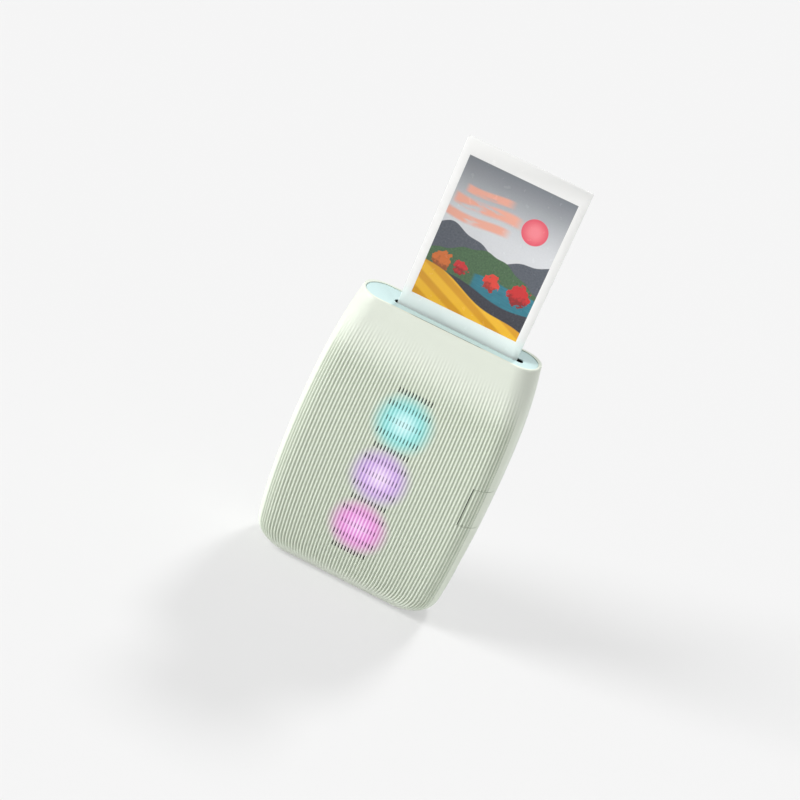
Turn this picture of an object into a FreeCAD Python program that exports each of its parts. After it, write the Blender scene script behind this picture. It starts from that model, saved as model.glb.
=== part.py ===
import FreeCAD, Part
import math
import os
import re

import Sketcher

# Compact instant-film photo printer, standing upright on its base.
# Row frame: X across the front, Y from the ribbed front (negative) to the film door, Z up.
# The origin is the middle of the footprint, on the surface that the printer stands on.

SIZES = [
    # casing
    ("body_width", 90.0, "widest point of the barrel-shaped casing"),
    ("body_depth", 37.3, "thickest point of the casing"),
    ("body_height", 125.5, "base to top rim"),
    ("bulge_height", 57.7, "height of the widest point"),
    ("top_width", 80.0, "casing width at the top rim"),
    ("top_depth", 20.6, "casing depth at the top rim"),
    ("wall", 1.6, "casing wall"),
    ("side_corner", 9.0, "upright corner radius at the bulge"),
    ("top_corner", 10.0, "upright corner radius at the top rim"),
    ("base_side_corner", 12.0, "lower corner radius seen from the front"),
    ("base_front_corner", 7.0, "lower corner radius at the front, seen from the side"),
    ("base_rear_corner", 4.0, "lower corner radius at the back, seen from the side"),
    ("seam_y", 1.0, "plane where the front shell meets the rear cover"),
    ("overrun", 2.0, "how far a cutting shape passes the face that it cuts"),
    # ribs of the front shell
    ("rib_count", 57, "ribs across the front"),
    ("rib_depth", 0.42, "depth of the flutes between the ribs"),
    ("rib_turn", 46.0, "degrees that the ribs go round each corner"),
    ("rib_base_start", 2.0, "height where the ribs begin"),
    ("rib_base_full", 8.0, "height where the ribs reach full depth"),
    ("rib_top_full", 15.5, "distance under the rim where the ribs begin to fade"),
    ("rib_top_end", 8.0, "distance under the rim where the ribs have gone"),
    # top cap
    ("cap_rim", 1.2, "rim of the casing round the cap"),
    ("cap_thick", 2.4, "top cap thickness"),
    ("cap_sunk", 0.3, "cap face below the rim"),
    ("cap_gap", 0.1, "clearance round the cap"),
    ("ledge_width", 1.5, "ledge that carries the cap"),
    ("ledge_thick", 1.5, "thickness of that ledge"),
    ("slot_length", 58.0, "film slot, across"),
    ("slot_width", 3.8, "film slot, front to back"),
    ("slot_shift", 0.7, "slot middle to the right of the film middle"),
    # film
    ("film_width", 54.0, "instant print, across"),
    ("film_height", 86.0, "instant print, upright"),
    ("film_thick", 0.4, "instant print thickness"),
    ("film_x", 3.0, "film middle, right of the casing middle"),
    ("film_y", -2.2, "film plane"),
    ("film_out", 75.0, "height of print that stands above the rim"),
    # rollers and gears
    ("nip_height", 118.0, "height of the line where the rollers grip the film"),
    ("roller_radius", 2.75, "pressure roller radius"),
    ("roller_length", 57.0, "pressure roller length"),
    ("axle_radius", 1.25, "roller axle radius"),
    ("turn_gap", 0.05, "radial clearance of everything that turns"),
    ("gear_module", 0.5, "tooth size of the gear train"),
    ("gear_width", 2.6, "face width of the gears"),
    ("roller_teeth", 12, "teeth of a roller gear"),
    ("upper_teeth", 26, "teeth of the upper idler"),
    ("lower_teeth", 30, "teeth of the lower idler"),
    ("pinion_teeth", 12, "teeth of the motor pinion"),
    ("upper_idler_y", -5.0, "upper idler axis"),
    ("lower_idler_y", -5.5, "lower idler axis"),
    ("motor_y", -10.0, "motor axis"),
    ("gear_pin_radius", 1.0, "idler pin radius"),
    ("plate_thick", 1.0, "sheet metal of the roller frame"),
    ("bush_radius", 1.9, "roller bush radius"),
    ("motor_radius", 4.3, "drive motor radius"),
    ("motor_length", 18.0, "drive motor length"),
    ("shaft_radius", 0.75, "motor shaft radius"),
    ("leaf_width", 1.0, "roller pressing spring, across"),
    ("leaf_low", 112.0, "foot of the roller pressing springs"),
    ("leaf_high", 120.8, "top of the roller pressing springs"),
    ("pin_head_radius", 1.6, "head of a gear pin"),
    ("pin_head_thick", 0.2, "head of a gear pin"),
    ("gear_backlash", 0.08, "play between gear teeth"),
    ("shaft_run", 11.5, "motor shaft inside the motor"),
    ("motor_flat", 3.6, "motor middle to its flat sides"),
    ("frame_low", 79.5, "lower edge of the gear plate"),
    ("frame_bend_low", 100.0, "height where the gear plate starts to narrow"),
    ("frame_right_low", 109.3, "lower edge of the right plate"),
    ("frame_high", 121.0, "top of the roller frame"),
    ("frame_front_low", -13.2, "front edge of the gear plate, low down"),
    ("frame_front_high", -9.0, "front edge of the plates near the top"),
    ("frame_front_top", -7.6, "front edge of the right plate at the top"),
    ("frame_rear_low", -1.5, "rear edge of the gear plate, low down"),
    ("frame_rear", 4.2, "rear edge of the plates at the top"),
    ("bar_thick", 0.8, "cross bar of the roller frame"),
    ("bar_high", 114.5, "top of the cross bar"),
    ("chassis_high", 108.5, "top of the chassis walls"),
    ("chassis_rear", 8.0, "rear edge of the chassis walls"),
    # film pack and chassis
    ("pack_wall", 1.0, "film pack wall"),
    ("pack_side", 2.4, "film pack side wall"),
    ("pack_front_gap", 0.2, "film to the pack's front wall"),
    ("pack_depth", 8.6, "film pack thickness"),
    ("pack_base", 22.6, "underside of the film pack"),
    ("pack_height", 89.8, "film pack height"),
    ("stack_depth", 4.0, "thickness of the unused films"),
    ("seat_gap", 0.3, "gap of a loose seat"),
    ("chassis_wall", 1.0, "chassis wall"),
    ("pack_gap", 0.4, "pack to chassis"),
    ("pack_window_width", 48.0, "window in the pack's front"),
    ("pack_window_height", 63.0, "window in the pack's front"),
    # door
    ("door_width", 76.0, "film door, across"),
    ("door_top", 112.0, "top edge of the film door"),
    ("door_gap", 0.3, "gap round the film door"),
    ("door_low_gap", 0.5, "gap under the film door, which its skin swings past"),
    ("door_corner", 5.0, "upper corner radius of the film door"),
    ("hinge_height", 12.2, "hinge axis height"),
    ("barrel_radius", 2.3, "rolled lower edge of the door"),
    ("ear_radius", 2.0, "hinge ear radius"),
    ("ear_x", 31.5, "hinge ear middle"),
    ("ear_thick", 3.0, "hinge ear thickness"),
    ("pin_radius", 0.8, "hinge pin radius"),
    ("pin_length", 8.0, "hinge pin length"),
    ("inner_plate_y", 8.7, "front face of the door's inner plate"),
    ("latch_width", 15.0, "latch button, across"),
    ("latch_height", 6.0, "latch button, upright"),
    ("latch_z", 100.6, "lower edge of the latch button"),
    ("latch_travel", 2.2, "latch travel"),
    ("latch_tongue", 8.0, "latch tongue, across"),
    ("tongue_front", 9.9, "front face of the latch tongue"),
    ("tongue_rear", 11.1, "rear face of the latch tongue"),
    ("tongue_gap", 0.1, "latch tongue to the cover's edge"),
    ("door_margin", 1.8, "door edge to its inner frame"),
    ("door_frame_wall", 1.2, "wall of the door's inner frame"),
    ("door_frame_low", 16.5, "lower edge of the door's inner frame"),
    ("door_frame_drop", 3.0, "door top to its inner frame"),
    ("inner_plate_thick", 1.0, "door's inner plate"),
    ("shelf_z", 92.0, "shelf under the latch spring"),
    ("press_spread", 14.0, "film pressing springs to the film middle"),
    ("press_width", 7.0, "film pressing spring, across"),
    ("press_low", 46.0, "lower end of the film pressing springs"),
    ("press_high", 88.0, "upper end of the film pressing springs"),
    ("press_thick", 0.3, "film pressing spring sheet"),
    ("ear_low", 4.0, "foot of the hinge ears"),
    # side key and reset button
    ("key_low", 54.0, "lower edge of the power key opening"),
    ("key_high", 72.0, "upper edge of the power key opening"),
    ("key_reach", 8.0, "front edge of the power key opening, from the casing side"),
    ("key_rear_y", -3.0, "rear edge of the power key opening"),
    ("key_travel", 0.3, "power key travel"),
    ("key_gap", 0.25, "gap round the power key"),
    ("reset_radius", 0.9, "reset button radius"),
    ("reset_travel", 0.3, "reset button travel"),
    ("reset_z", 54.0, "reset button height"),
    ("key_stem_radius", 2.0, "radius of the power key's stem"),
    ("key_stem_y", -9.5, "place of the power key's stem"),
    ("groove_length", 8.2, "finger groove of the power key, upright"),
    ("groove_width", 1.0, "finger groove, front to back"),
    ("groove_depth", 0.5, "finger groove depth"),
    ("groove_y", -6.4, "place of the finger groove"),
    # lights and boards
    ("light_middle_z", 57.6, "middle light"),
    ("light_pitch", 25.8, "light to light"),
    ("light_size", 5.0, "light chip, square"),
    ("light_thick", 1.0, "light chip thickness"),
    ("light_box_width", 17.0, "light box, across"),
    ("diffuser_thick", 1.0, "light diffuser"),
    ("board_thick", 1.0, "circuit boards"),
    ("light_board_y", -12.4, "front face of the light board"),
    ("battery_width", 30.0, "battery, across"),
    ("battery_height", 52.0, "battery, upright"),
    ("battery_thick", 5.0, "battery thickness"),
    ("socket_width", 8.9, "charging socket, upright"),
    ("socket_thick", 3.2, "charging socket, front to back"),
    ("socket_length", 7.3, "charging socket, inwards"),
    ("socket_z", 44.0, "charging socket height"),
    ("socket_sunk", 1.1, "mouth of the charging socket below the skin"),
    ("socket_wall", 0.3, "charging socket sheet metal"),
    ("socket_back", 1.0, "charging socket rear wall"),
    ("tongue_thick", 0.7, "contact tongue of the charging socket"),
    ("standoff", 0.6, "circuit board to chassis"),
    ("board_left", -33.5, "left edge of the main board"),
    ("board_right", -11.0, "right edge of the main board"),
    ("board_low", 22.0, "lower edge of the main board"),
    ("board_high", 76.0, "upper edge of the main board"),
    ("board_tab_low", 38.0, "lower edge of the board's tab"),
    ("board_tab_high", 57.0, "upper edge of the board's tab"),
    ("battery_corner", 1.2, "battery edge radius"),
    ("battery_left", 1.0, "left edge of the battery"),
    ("battery_low", 24.0, "lower edge of the battery"),
    ("key_board_front", -13.0, "front edge of the key board"),
    ("key_board_height", 22.0, "key board, upright"),
    ("switch_size", 4.6, "key switch, square"),
    ("switch_thick", 1.5, "key switch thickness"),
    ("plunger_radius", 1.0, "switch plunger radius"),
    ("plunger_length", 0.6, "switch plunger length"),
    ("light_box_wall", 1.0, "light box wall"),
    ("light_post_radius", 1.2, "posts that carry the light board"),
    ("window_low", 41.0, "lower edge of the pack's front window"),
    ("switch_height", 3.0, "reset switch, upright"),
    ("switch_depth", 1.8, "reset switch, front to back"),
    ("switch_inset", 3.1, "outer end of the reset switch, from the casing side"),
    ("switch_length", 2.3, "reset switch, inwards"),
    ("flange_thick", 0.4, "reset button flange"),
    ("flange_radius", 1.5, "reset button flange"),
    ("stem_radius", 0.6, "reset button stem"),
    ("light_box_rise", 38.5, "light box reach above and below the middle light"),
    ("head_nose_width", 50.0, "exposure head, across the film"),
    ("head_low", 113.0, "underside of the exposure head"),
    ("head_nose_top", 114.9, "top of the exposure head's nose"),
    ("head_top", 120.5, "top of the exposure head"),
    ("head_front", 4.4, "front face of the exposure head's body"),
    ("head_rear", 8.4, "rear face of the exposure head"),
    ("lens_gap", 0.3, "lens strip to film"),
    ("lens_depth", 0.5, "lens strip front to back"),
    ("lens_height", 1.1, "lens strip height"),
    # claw
    ("claw_width", 4.0, "film claw, across"),
    ("claw_thick", 0.55, "film claw sheet metal"),
    ("slider_width", 6.0, "claw slider, across"),
    ("slider_low", 6.0, "claw slider underside"),
    ("slider_high", 9.0, "claw slider top"),
    ("slider_front", -3.7, "claw slider front"),
    ("slider_rear", 2.2, "claw slider rear"),
    ("rail_low", 5.0, "underside of the claw rails"),
    ("rail_thick", 1.1, "claw rail thickness"),
    ("rail_rear", -0.5, "rear edge of the claw rails"),
    ("claw_coil_y", 0.7, "middle of the claw spring"),
    ("coil_radius", 1.1, "middle radius of the small coil springs"),
    ("coil_wire", 0.2, "wire radius of the small coil springs"),
    ("coil_turns", 6, "turns of the small coil springs"),
    # screws
    ("screw_radius", 1.0, "thread radius"),
    ("screw_head_radius", 1.9, "head radius"),
    ("screw_head_thick", 1.2, "head thickness"),
    ("screw_length", 6.0, "length under the head"),
    ("boss_radius", 2.6, "screw boss radius"),
    ("boss_left_inset", 8.0, "left screw bosses, from the casing side"),
    ("boss_right_inset", 6.0, "right screw bosses, from the casing side"),
    ("boss_low_z", 30.0, "lower screw bosses"),
    ("boss_left_high_z", 74.0, "upper left screw boss"),
    ("boss_right_high_z", 98.0, "upper right screw boss"),
]

DOC = FreeCAD.newDocument("PhotoPrinter")
SHEET = DOC.addObject("Spreadsheet::Sheet", "Sizes")
for row, (alias, amount, meaning) in enumerate(SIZES, start=1):
    SHEET.set(f"A{row}", alias)
    SHEET.set(f"B{row}", str(amount))
    SHEET.setAlias(f"B{row}", alias)
    SHEET.set(f"C{row}", meaning)
DOC.recompute()

NAMES = {alias for alias, amount, meaning in SIZES}
PIECES = []
ROTATION = {
    "x": FreeCAD.Rotation(FreeCAD.Vector(0, 1, 0), 90),
    "y": FreeCAD.Rotation(FreeCAD.Vector(1, 0, 0), -90),
    "z": FreeCAD.Rotation(),
}


class Dimensions:
    """The sheet's numbers, for shapes that code works out."""

    def __getattr__(self, alias):
        return float(SHEET.get(alias))


dim = Dimensions()


# Helpers that build bound objects


def bind(text):
    """Puts the sheet's name before each size in an expression."""
    return re.sub(r"[A-Za-z_]\w*", lambda word: f"Sizes.{word[0]}" if word[0] in NAMES else word[0], text)


def number(text):
    """The value of an expression of the sheet's sizes."""
    return float(SHEET.evalExpression(text))


def around(middle, width):
    """The two ends of a width about a middle."""
    return f"{middle} - ({width}) / 2", f"{middle} + ({width}) / 2"


def block(name, x, y, z):
    """A box between two expressions along each axis."""
    box = DOC.addObject("Part::Box", name)
    for length, axis, (low, high) in (("Length", "x", x), ("Width", "y", y), ("Height", "z", z)):
        box.setExpression(length, bind(f"({high}) - ({low})"))
        box.setExpression(f"Placement.Base.{axis}", bind(low))
    return box


def rod(name, along, at, span, radius):
    """A cylinder along one axis, at the two other coordinates, between the ends of its span."""
    cylinder = DOC.addObject("Part::Cylinder", name)
    cylinder.Placement = FreeCAD.Placement(FreeCAD.Vector(), ROTATION[along])
    cylinder.setExpression("Radius", bind(radius))
    cylinder.setExpression("Height", bind(f"({span[1]}) - ({span[0]})"))
    places = list(at)
    for axis in "xyz":
        text = span[0] if axis == along else places.pop(0)
        cylinder.setExpression(f"Placement.Base.{axis}", bind(text))
    return cylinder


def fuse(name, *shapes):
    """One object made of several that touch, or a group of separate solids."""
    joined = DOC.addObject("Part::MultiFuse", name)
    joined.Shapes = list(shapes)
    return joined


def cut(name, base, *tools):
    """A base less its tools."""
    result = DOC.addObject("Part::Cut", name)
    result.Base = base
    result.Tool = tools[0] if len(tools) == 1 else fuse(f"{name}_tools", *tools)
    return result


def common(name, first, second):
    """What two objects share."""
    result = DOC.addObject("Part::Common", name)
    result.Base = first
    result.Tool = second
    return result


def stadium(name, half_length, half_width, z, x="0", y="0"):
    """An upright prism with two straight sides and two round ends."""
    straight = f"({half_length}) - ({half_width})"
    across = (f"{y} - ({half_width})", f"{y} + ({half_width})")
    middle = block(f"{name}_middle", (f"{x} - ({straight})", f"{x} + ({straight})"), across, z)
    left = rod(f"{name}_left", "z", (f"{x} - ({straight})", y), z, half_width)
    right = rod(f"{name}_right", "z", (f"{x} + ({straight})", y), z, half_width)
    return fuse(name, middle, left, right)


def feature(name, shape):
    """A shape that code worked out from the sheet's sizes."""
    made = DOC.addObject("Part::Feature", name)
    made.Shape = shape
    return made


def piece(made, label):
    """Registers a finished sub-part under its label."""
    made.Label = label
    PIECES.append(made)
    return made


def new_body(name):
    """A PartDesign body."""
    return DOC.addObject("PartDesign::Body", name)


def new_sketch(body, name, role, offset="0"):
    """A sketch on one of the body's own origin planes, moved along the plane's normal."""
    sketch = body.newObject("Sketcher::SketchObject", name)
    plane = next(part for part in body.Origin.OriginFeatures if part.Role == role)
    sketch.AttachmentSupport = (plane, [""])
    sketch.MapMode = "FlatFace"
    sketch.setExpression("AttachmentOffset.Base.z", bind(offset))
    return sketch


def hold_point(sketch, line, u, v):
    """Holds the start of a sketch line at two expressions, measured from the origin."""
    for kind, axis, text in (("DistanceX", -2, u), ("DistanceY", -1, v)):
        if text == "0":
            sketch.addConstraint(Sketcher.Constraint("PointOnObject", line, 1, axis))
            continue
        index = sketch.addConstraint(Sketcher.Constraint(kind, -1, 1, line, 1, 1.0))
        sketch.setExpression(f"Constraints[{index}]", bind(text))


def outline(sketch, points):
    """A closed outline of straight lines through points given as expressions."""
    count = len(points)
    turns = [2 * math.pi * index / count for index in range(count)]
    spots = [FreeCAD.Vector(math.cos(turn), math.sin(turn), 0) * dim.wall for turn in turns]
    lines = []
    for index in range(count):
        lines.append(sketch.addGeometry(Part.LineSegment(spots[index], spots[(index + 1) % count])))
    for index in range(count):
        after = lines[(index + 1) % count]
        sketch.addConstraint(Sketcher.Constraint("Coincident", lines[index], 2, after, 1))
    for line, (u, v) in zip(lines, points):
        hold_point(sketch, line, u, v)


def rectangle(u, v):
    """The corners of a rectangle between two expressions each way."""
    return [(u[0], v[0]), (u[1], v[0]), (u[1], v[1]), (u[0], v[1])]


def pad(body, sketch, length):
    """Pads a sketch along its plane's normal."""
    made = body.newObject("PartDesign::Pad", f"{sketch.Name}_pad")
    made.Profile = sketch
    made.setExpression("Length", bind(length))
    return made


def lathe(name, points, y, z):
    """A turned piece about an axis along X: outline points are place along the axis and radius."""
    body = new_body(name)
    sketch = new_sketch(body, f"{name}_outline", "XY_Plane")
    outline(sketch, points)
    turned = body.newObject("PartDesign::Revolution", f"{name}_turned")
    turned.Profile = sketch
    turned.ReferenceAxis = (next(part for part in body.Origin.OriginFeatures if part.Role == "X_Axis"), [""])
    turned.Angle = 360
    body.setExpression("Placement.Base.y", bind(y))
    body.setExpression("Placement.Base.z", bind(z))
    return body


# Casing surface: every casing piece is cut from lofts of this outline

BULGE_SQUARE_SHARE = 0.6
CORNER_SHARE = 0.97
BASE_CORNER_SHARE = 0.8
BASE_STEPS = 4
LEVEL_SHARES = (0.0, 0.1, 0.22, 0.38, 0.54, 0.7, 0.8, 0.865, 0.93, 1.0)


def base_round(z, radius, inset):
    """How far the rounded lower edge draws in at a height."""
    if z >= radius:
        return 0.0
    reach = radius - inset
    rise = min(1.0, (radius - z) / reach)
    return reach * (1 - math.sqrt(1 - rise**2))


def casing(z, inset=0.0):
    """Half width, front reach, rear reach and front and rear corner radii of the casing at a height."""
    rise = abs(z - dim.bulge_height) / (dim.body_height - dim.bulge_height)
    narrowing = BULGE_SQUARE_SHARE * rise**2 + (1 - BULGE_SQUARE_SHARE) * rise**4
    half_width = dim.body_width / 2 - (dim.body_width - dim.top_width) / 2 * narrowing - inset
    half_depth = dim.body_depth / 2 - (dim.body_depth - dim.top_depth) / 2 * rise**2 - inset
    side = half_width - base_round(z, dim.base_side_corner, inset)
    front = half_depth - base_round(z, dim.base_front_corner, inset)
    rear = half_depth - base_round(z, dim.base_rear_corner, inset)
    corner = dim.side_corner + (dim.top_corner - dim.side_corner) * rise**2 - inset
    up = min(1.0, z / dim.base_side_corner)
    limit_share = BASE_CORNER_SHARE + (CORNER_SHARE - BASE_CORNER_SHARE) * up
    front_corner = min(corner, limit_share * (front + dim.seam_y))
    rear_corner = min(corner, limit_share * (rear - dim.seam_y))
    return side, front, rear, front_corner, rear_corner


def levels(inset, top):
    """Section heights: close together round the base, then shares of the rest."""
    bend = dim.base_side_corner
    turns = [math.pi / 2 * step / BASE_STEPS for step in range(BASE_STEPS)]
    lower = [bend - (bend - inset) * math.cos(turn) for turn in turns]
    return lower + [bend + share * (top - bend) for share in LEVEL_SHARES]


def corner_arc(middle_x, middle_y, radius, start, end, z):
    """An arc of an upright corner, angles in degrees from +X towards +Y."""
    turns = [math.radians(start), math.radians((start + end) / 2), math.radians(end)]
    spots = [FreeCAD.Vector(middle_x + radius * math.cos(turn), middle_y + radius * math.sin(turn), z)
             for turn in turns]
    return Part.Arc(*spots).toShape()


def chain(edges):
    """A closed wire of edges that follow each other, with the straight stretches between them added."""
    joined = []
    for index, edge in enumerate(edges):
        after = edges[(index + 1) % len(edges)]
        joined.append(edge)
        end, start = edge.lastVertex(True).Point, after.firstVertex(True).Point
        joined.append(Part.makeLine(end, start))
    return Part.Wire(joined)


def smooth_section(z, inset):
    """The whole casing outline at a height."""
    side, front, rear, front_corner, rear_corner = casing(z, inset)
    return chain([
        corner_arc(side - front_corner, front_corner - front, front_corner, -90, 0, z),
        corner_arc(side - rear_corner, rear - rear_corner, rear_corner, 0, 90, z),
        corner_arc(rear_corner - side, rear - rear_corner, rear_corner, 90, 180, z),
        corner_arc(front_corner - side, front_corner - front, front_corner, 180, 270, z),
    ])


def smooth_casing(name, inset, top):
    """A solid of the casing's shape, inset from its skin."""
    return feature(name, Part.makeLoft([smooth_section(z, inset) for z in levels(inset, top)], True))


def ease(share):
    """A smooth step from 0 to 1."""
    share = min(1.0, max(0.0, share))
    return share * share * (3 - 2 * share)


def flute_depth(z):
    """Depth of the flutes at a height: none at the base and under the rim."""
    up = (z - dim.rib_base_start) / (dim.rib_base_full - dim.rib_base_start)
    down = (dim.body_height - dim.rib_top_end - z) / (dim.rib_top_full - dim.rib_top_end)
    return dim.rib_depth * ease(up) * ease(down)


def front_point(share, z):
    """A point of the front outline and its outward normal: share runs from -1 to 1 across the ribs."""
    side, front, rear, corner, rear_corner = casing(z)
    straight = side - corner
    run = abs(share) * (straight + corner * math.radians(dim.rib_turn))
    turn = max(0.0, run - straight) / corner
    hand = math.copysign(1.0, share)
    normal = FreeCAD.Vector(hand * math.sin(turn), -math.cos(turn), 0)
    return FreeCAD.Vector(hand * min(run, straight), corner - front, z) + normal * corner, normal


def ribbed_section(z):
    """The front half of the casing outline at a height, with its flutes."""
    side, front, rear, corner, rear_corner = casing(z)
    count = round(dim.rib_count)
    edges = []
    for index in range(count):
        left, right = 2 * index / count - 1, 2 * (index + 1) / count - 1
        start, end = front_point(left, z)[0], front_point(right, z)[0]
        skin, normal = front_point((left + right) / 2, z)
        bottom = skin - normal * flute_depth(z)
        curve = Part.BezierCurve()
        curve.setPoles([start, bottom * 2 - (start + end) * 0.5, end])
        edges.append(curve.toShape())
    right_end = corner_arc(side - corner, corner - front, corner, dim.rib_turn - 90, 0, z)
    left_end = corner_arc(corner - side, corner - front, corner, 180, 270 - dim.rib_turn, z)
    back = [FreeCAD.Vector(side, corner - front, z), FreeCAD.Vector(side, dim.seam_y, z),
            FreeCAD.Vector(-side, dim.seam_y, z), FreeCAD.Vector(-side, corner - front, z)]
    lines = [Part.makeLine(start, end) for start, end in zip(back, back[1:])]
    return Part.Wire(edges + [right_end] + lines + [left_end])


def rear_section(z):
    """The rear half of the casing outline at a height."""
    side, front, rear, front_corner, corner = casing(z)
    arcs = [corner_arc(side - corner, rear - corner, corner, 0, 90, z),
            corner_arc(corner - side, rear - corner, corner, 90, 180, z)]
    spots = [arcs[0].lastVertex(True).Point, arcs[1].firstVertex(True).Point]
    seam = [arcs[1].lastVertex(True).Point, FreeCAD.Vector(-side, dim.seam_y, z),
            FreeCAD.Vector(side, dim.seam_y, z), arcs[0].firstVertex(True).Point]
    lines = [Part.makeLine(start, end) for start, end in zip(seam, seam[1:])]
    return Part.Wire([arcs[0], Part.makeLine(*spots), arcs[1]] + lines)


LEDGE_LOW = "(body_height - cap_sunk - cap_thick - ledge_thick)"
casing_blank = smooth_casing("casing_blank", 0.0, dim.body_height)
casing_core = smooth_casing("casing_core", dim.wall, number(LEDGE_LOW))
casing_middle = smooth_casing("casing_middle", dim.wall / 2, number(LEDGE_LOW))
diffuser_outer = smooth_casing("diffuser_outer", dim.wall + dim.cap_gap, number(LEDGE_LOW))
diffuser_inset = dim.wall + dim.cap_gap + dim.diffuser_thick
diffuser_inner = smooth_casing("diffuser_inner", diffuser_inset, number(LEDGE_LOW))
ribbed_levels = [ribbed_section(z) for z in levels(0.0, dim.body_height)]
ribbed_blank = feature("ribbed_blank", Part.makeLoft(ribbed_levels, True))
rear_levels = [rear_section(z) for z in levels(0.0, dim.body_height)]
rear_blank = feature("rear_blank", Part.makeLoft(rear_levels, True))

# Places that several pieces share, as expressions

REST_BASE = "(body_height + film_out - film_height)"
PACK_FRONT = "(film_y - film_thick / 2 - pack_front_gap - pack_wall)"
PACK_REAR = f"({PACK_FRONT} + pack_depth)"
PACK_X = around("film_x", "film_width + 2 * (2 * seat_gap + pack_side)")
PACK_INNER_X = around("film_x", "film_width + 4 * seat_gap")
PACK_TOP = "(pack_base + pack_height)"
STACK_LOW = "(pack_base + pack_wall + 2 * seat_gap)"
STACK_FRONT = "(film_y + film_thick / 2 + seat_gap)"
CHASSIS_LEFT = f"({PACK_X[0]} - pack_gap)"
CHASSIS_RIGHT = f"({PACK_X[1]} + pack_gap)"
CHASSIS_FRONT = f"({PACK_FRONT} - pack_gap)"
CHASSIS_LOW = "(pack_base - seat_gap - chassis_wall)"
PLATE_FACE = f"({CHASSIS_FRONT} - chassis_wall)"
BOARD_FRONT = f"({PLATE_FACE} - standoff - board_thick)"
FRONT_ROLLER_Y = "(film_y - roller_teeth * gear_module / 2)"
REAR_ROLLER_Y = "(film_y + roller_teeth * gear_module / 2)"
FRAME_LEFT = f"({CHASSIS_LEFT} - chassis_wall - pack_gap / 2)"
FRAME_RIGHT = f"({CHASSIS_RIGHT} + chassis_wall + pack_gap / 2)"
GEAR_RIGHT = f"({FRAME_LEFT} - plate_thick - seat_gap)"
GEAR_LEFT = f"({GEAR_RIGHT} - gear_width)"
AXLE_LEFT = f"({GEAR_LEFT} - plate_thick / 2)"
HINGE_RISE = "((bulge_height - hinge_height) / (body_height - bulge_height))"
HINGE_Y = f"(body_depth / 2 - (body_depth - top_depth) / 2 * {HINGE_RISE} ^ 2 - barrel_radius)"
CLAW_X = "(film_x - film_width / 2 + claw_width / 2)"
CLAW_FRONT = "(film_y - film_thick / 2 - pack_front_gap / 2)"
CLAW_Y = (CLAW_FRONT, f"{CLAW_FRONT} + claw_thick")
KEY_Z = "((key_low + key_high) / 2)"
KEY_FRONT_X = "(body_width / 2 - key_reach)"
KEY_STEM_X = f"({KEY_FRONT_X} + seat_gap)"
KEY_BOARD_X = f"({KEY_STEM_X} - key_travel - tongue_gap - plunger_length - switch_thick - board_thick)"
BOARD_TAB_LEFT = "(wall + socket_sunk - body_width / 2)"
SWITCH_X = ("(switch_inset - body_width / 2)", "(switch_inset + switch_length - body_width / 2)")
RESET_END = "(seat_gap - body_width / 2)"
FLANGE_LEFT = "(wall + seat_gap - body_width / 2)"
DOOR_LOW = "(hinge_height - barrel_radius - door_low_gap)"
CAP_LOW = "(body_height - cap_sunk - cap_thick)"
ABOVE = "(body_height + overrun)"
FAR_X = "(body_width / 2 + overrun)"
FAR_Y = "(body_depth / 2 + overrun)"
BOSS_LEFT_X = "(boss_left_inset - body_width / 2)"
BOSS_RIGHT_X = "(body_width / 2 - boss_right_inset)"
BOSS_SPOTS = {
    "lower_left": (BOSS_LEFT_X, "boss_low_z"),
    "upper_left": (BOSS_LEFT_X, "boss_left_high_z"),
    "lower_right": (BOSS_RIGHT_X, "boss_low_z"),
    "upper_right": (BOSS_RIGHT_X, "boss_right_high_z"),
}


def both(middle):
    """The two ends of a width about the casing middle, given half of it."""
    return f"-({middle})", middle


def below(teeth, other_teeth, y, other_y, z):
    """Height of a gear's axis under another that it meshes with."""
    reach = f"(({teeth} + {other_teeth}) * gear_module / 2)"
    return f"({z} - sqrt({reach} ^ 2 - ({y} - {other_y}) ^ 2))"


UPPER_IDLER_Z = below("upper_teeth", "roller_teeth", "upper_idler_y", FRONT_ROLLER_Y, "nip_height")
LOWER_IDLER_Z = below("lower_teeth", "upper_teeth", "lower_idler_y", "upper_idler_y", UPPER_IDLER_Z)
MOTOR_Z = below("pinion_teeth", "lower_teeth", "motor_y", "lower_idler_y", LOWER_IDLER_Z)


def slot_along_x(name, x, y, z, height, thick):
    """A slot shape that runs along X, round above and below."""
    half_run = f"((({height}) - ({thick})) / 2)"
    middle = block(f"{name}_middle", x, around(y, thick), (f"{z} - {half_run}", f"{z} + {half_run}"))
    low = rod(f"{name}_low", "x", (y, f"{z} - {half_run}"), x, f"({thick}) / 2")
    high = rod(f"{name}_high", "x", (y, f"{z} + {half_run}"), x, f"({thick}) / 2")
    return fuse(name, middle, low, high)


# Openings that the shells share

RECESS = ("top_width / 2 - cap_rim", "top_depth / 2 - cap_rim")
ledge_hole = stadium("ledge_hole", f"{RECESS[0]} - ledge_width", f"{RECESS[1]} - ledge_width",
                     (f"{LEDGE_LOW} - overrun", ABOVE))
cap_recess = stadium("cap_recess", *RECESS, (CAP_LOW, ABOVE))
SOCKET_Y = f"({BOARD_FRONT} - socket_thick / 2)"
RESET_Y = f"({BOARD_FRONT} - reset_radius)"

# Front shell: ribbed wall, screw bosses, and openings for the cap, key, charging socket and reset button

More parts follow.
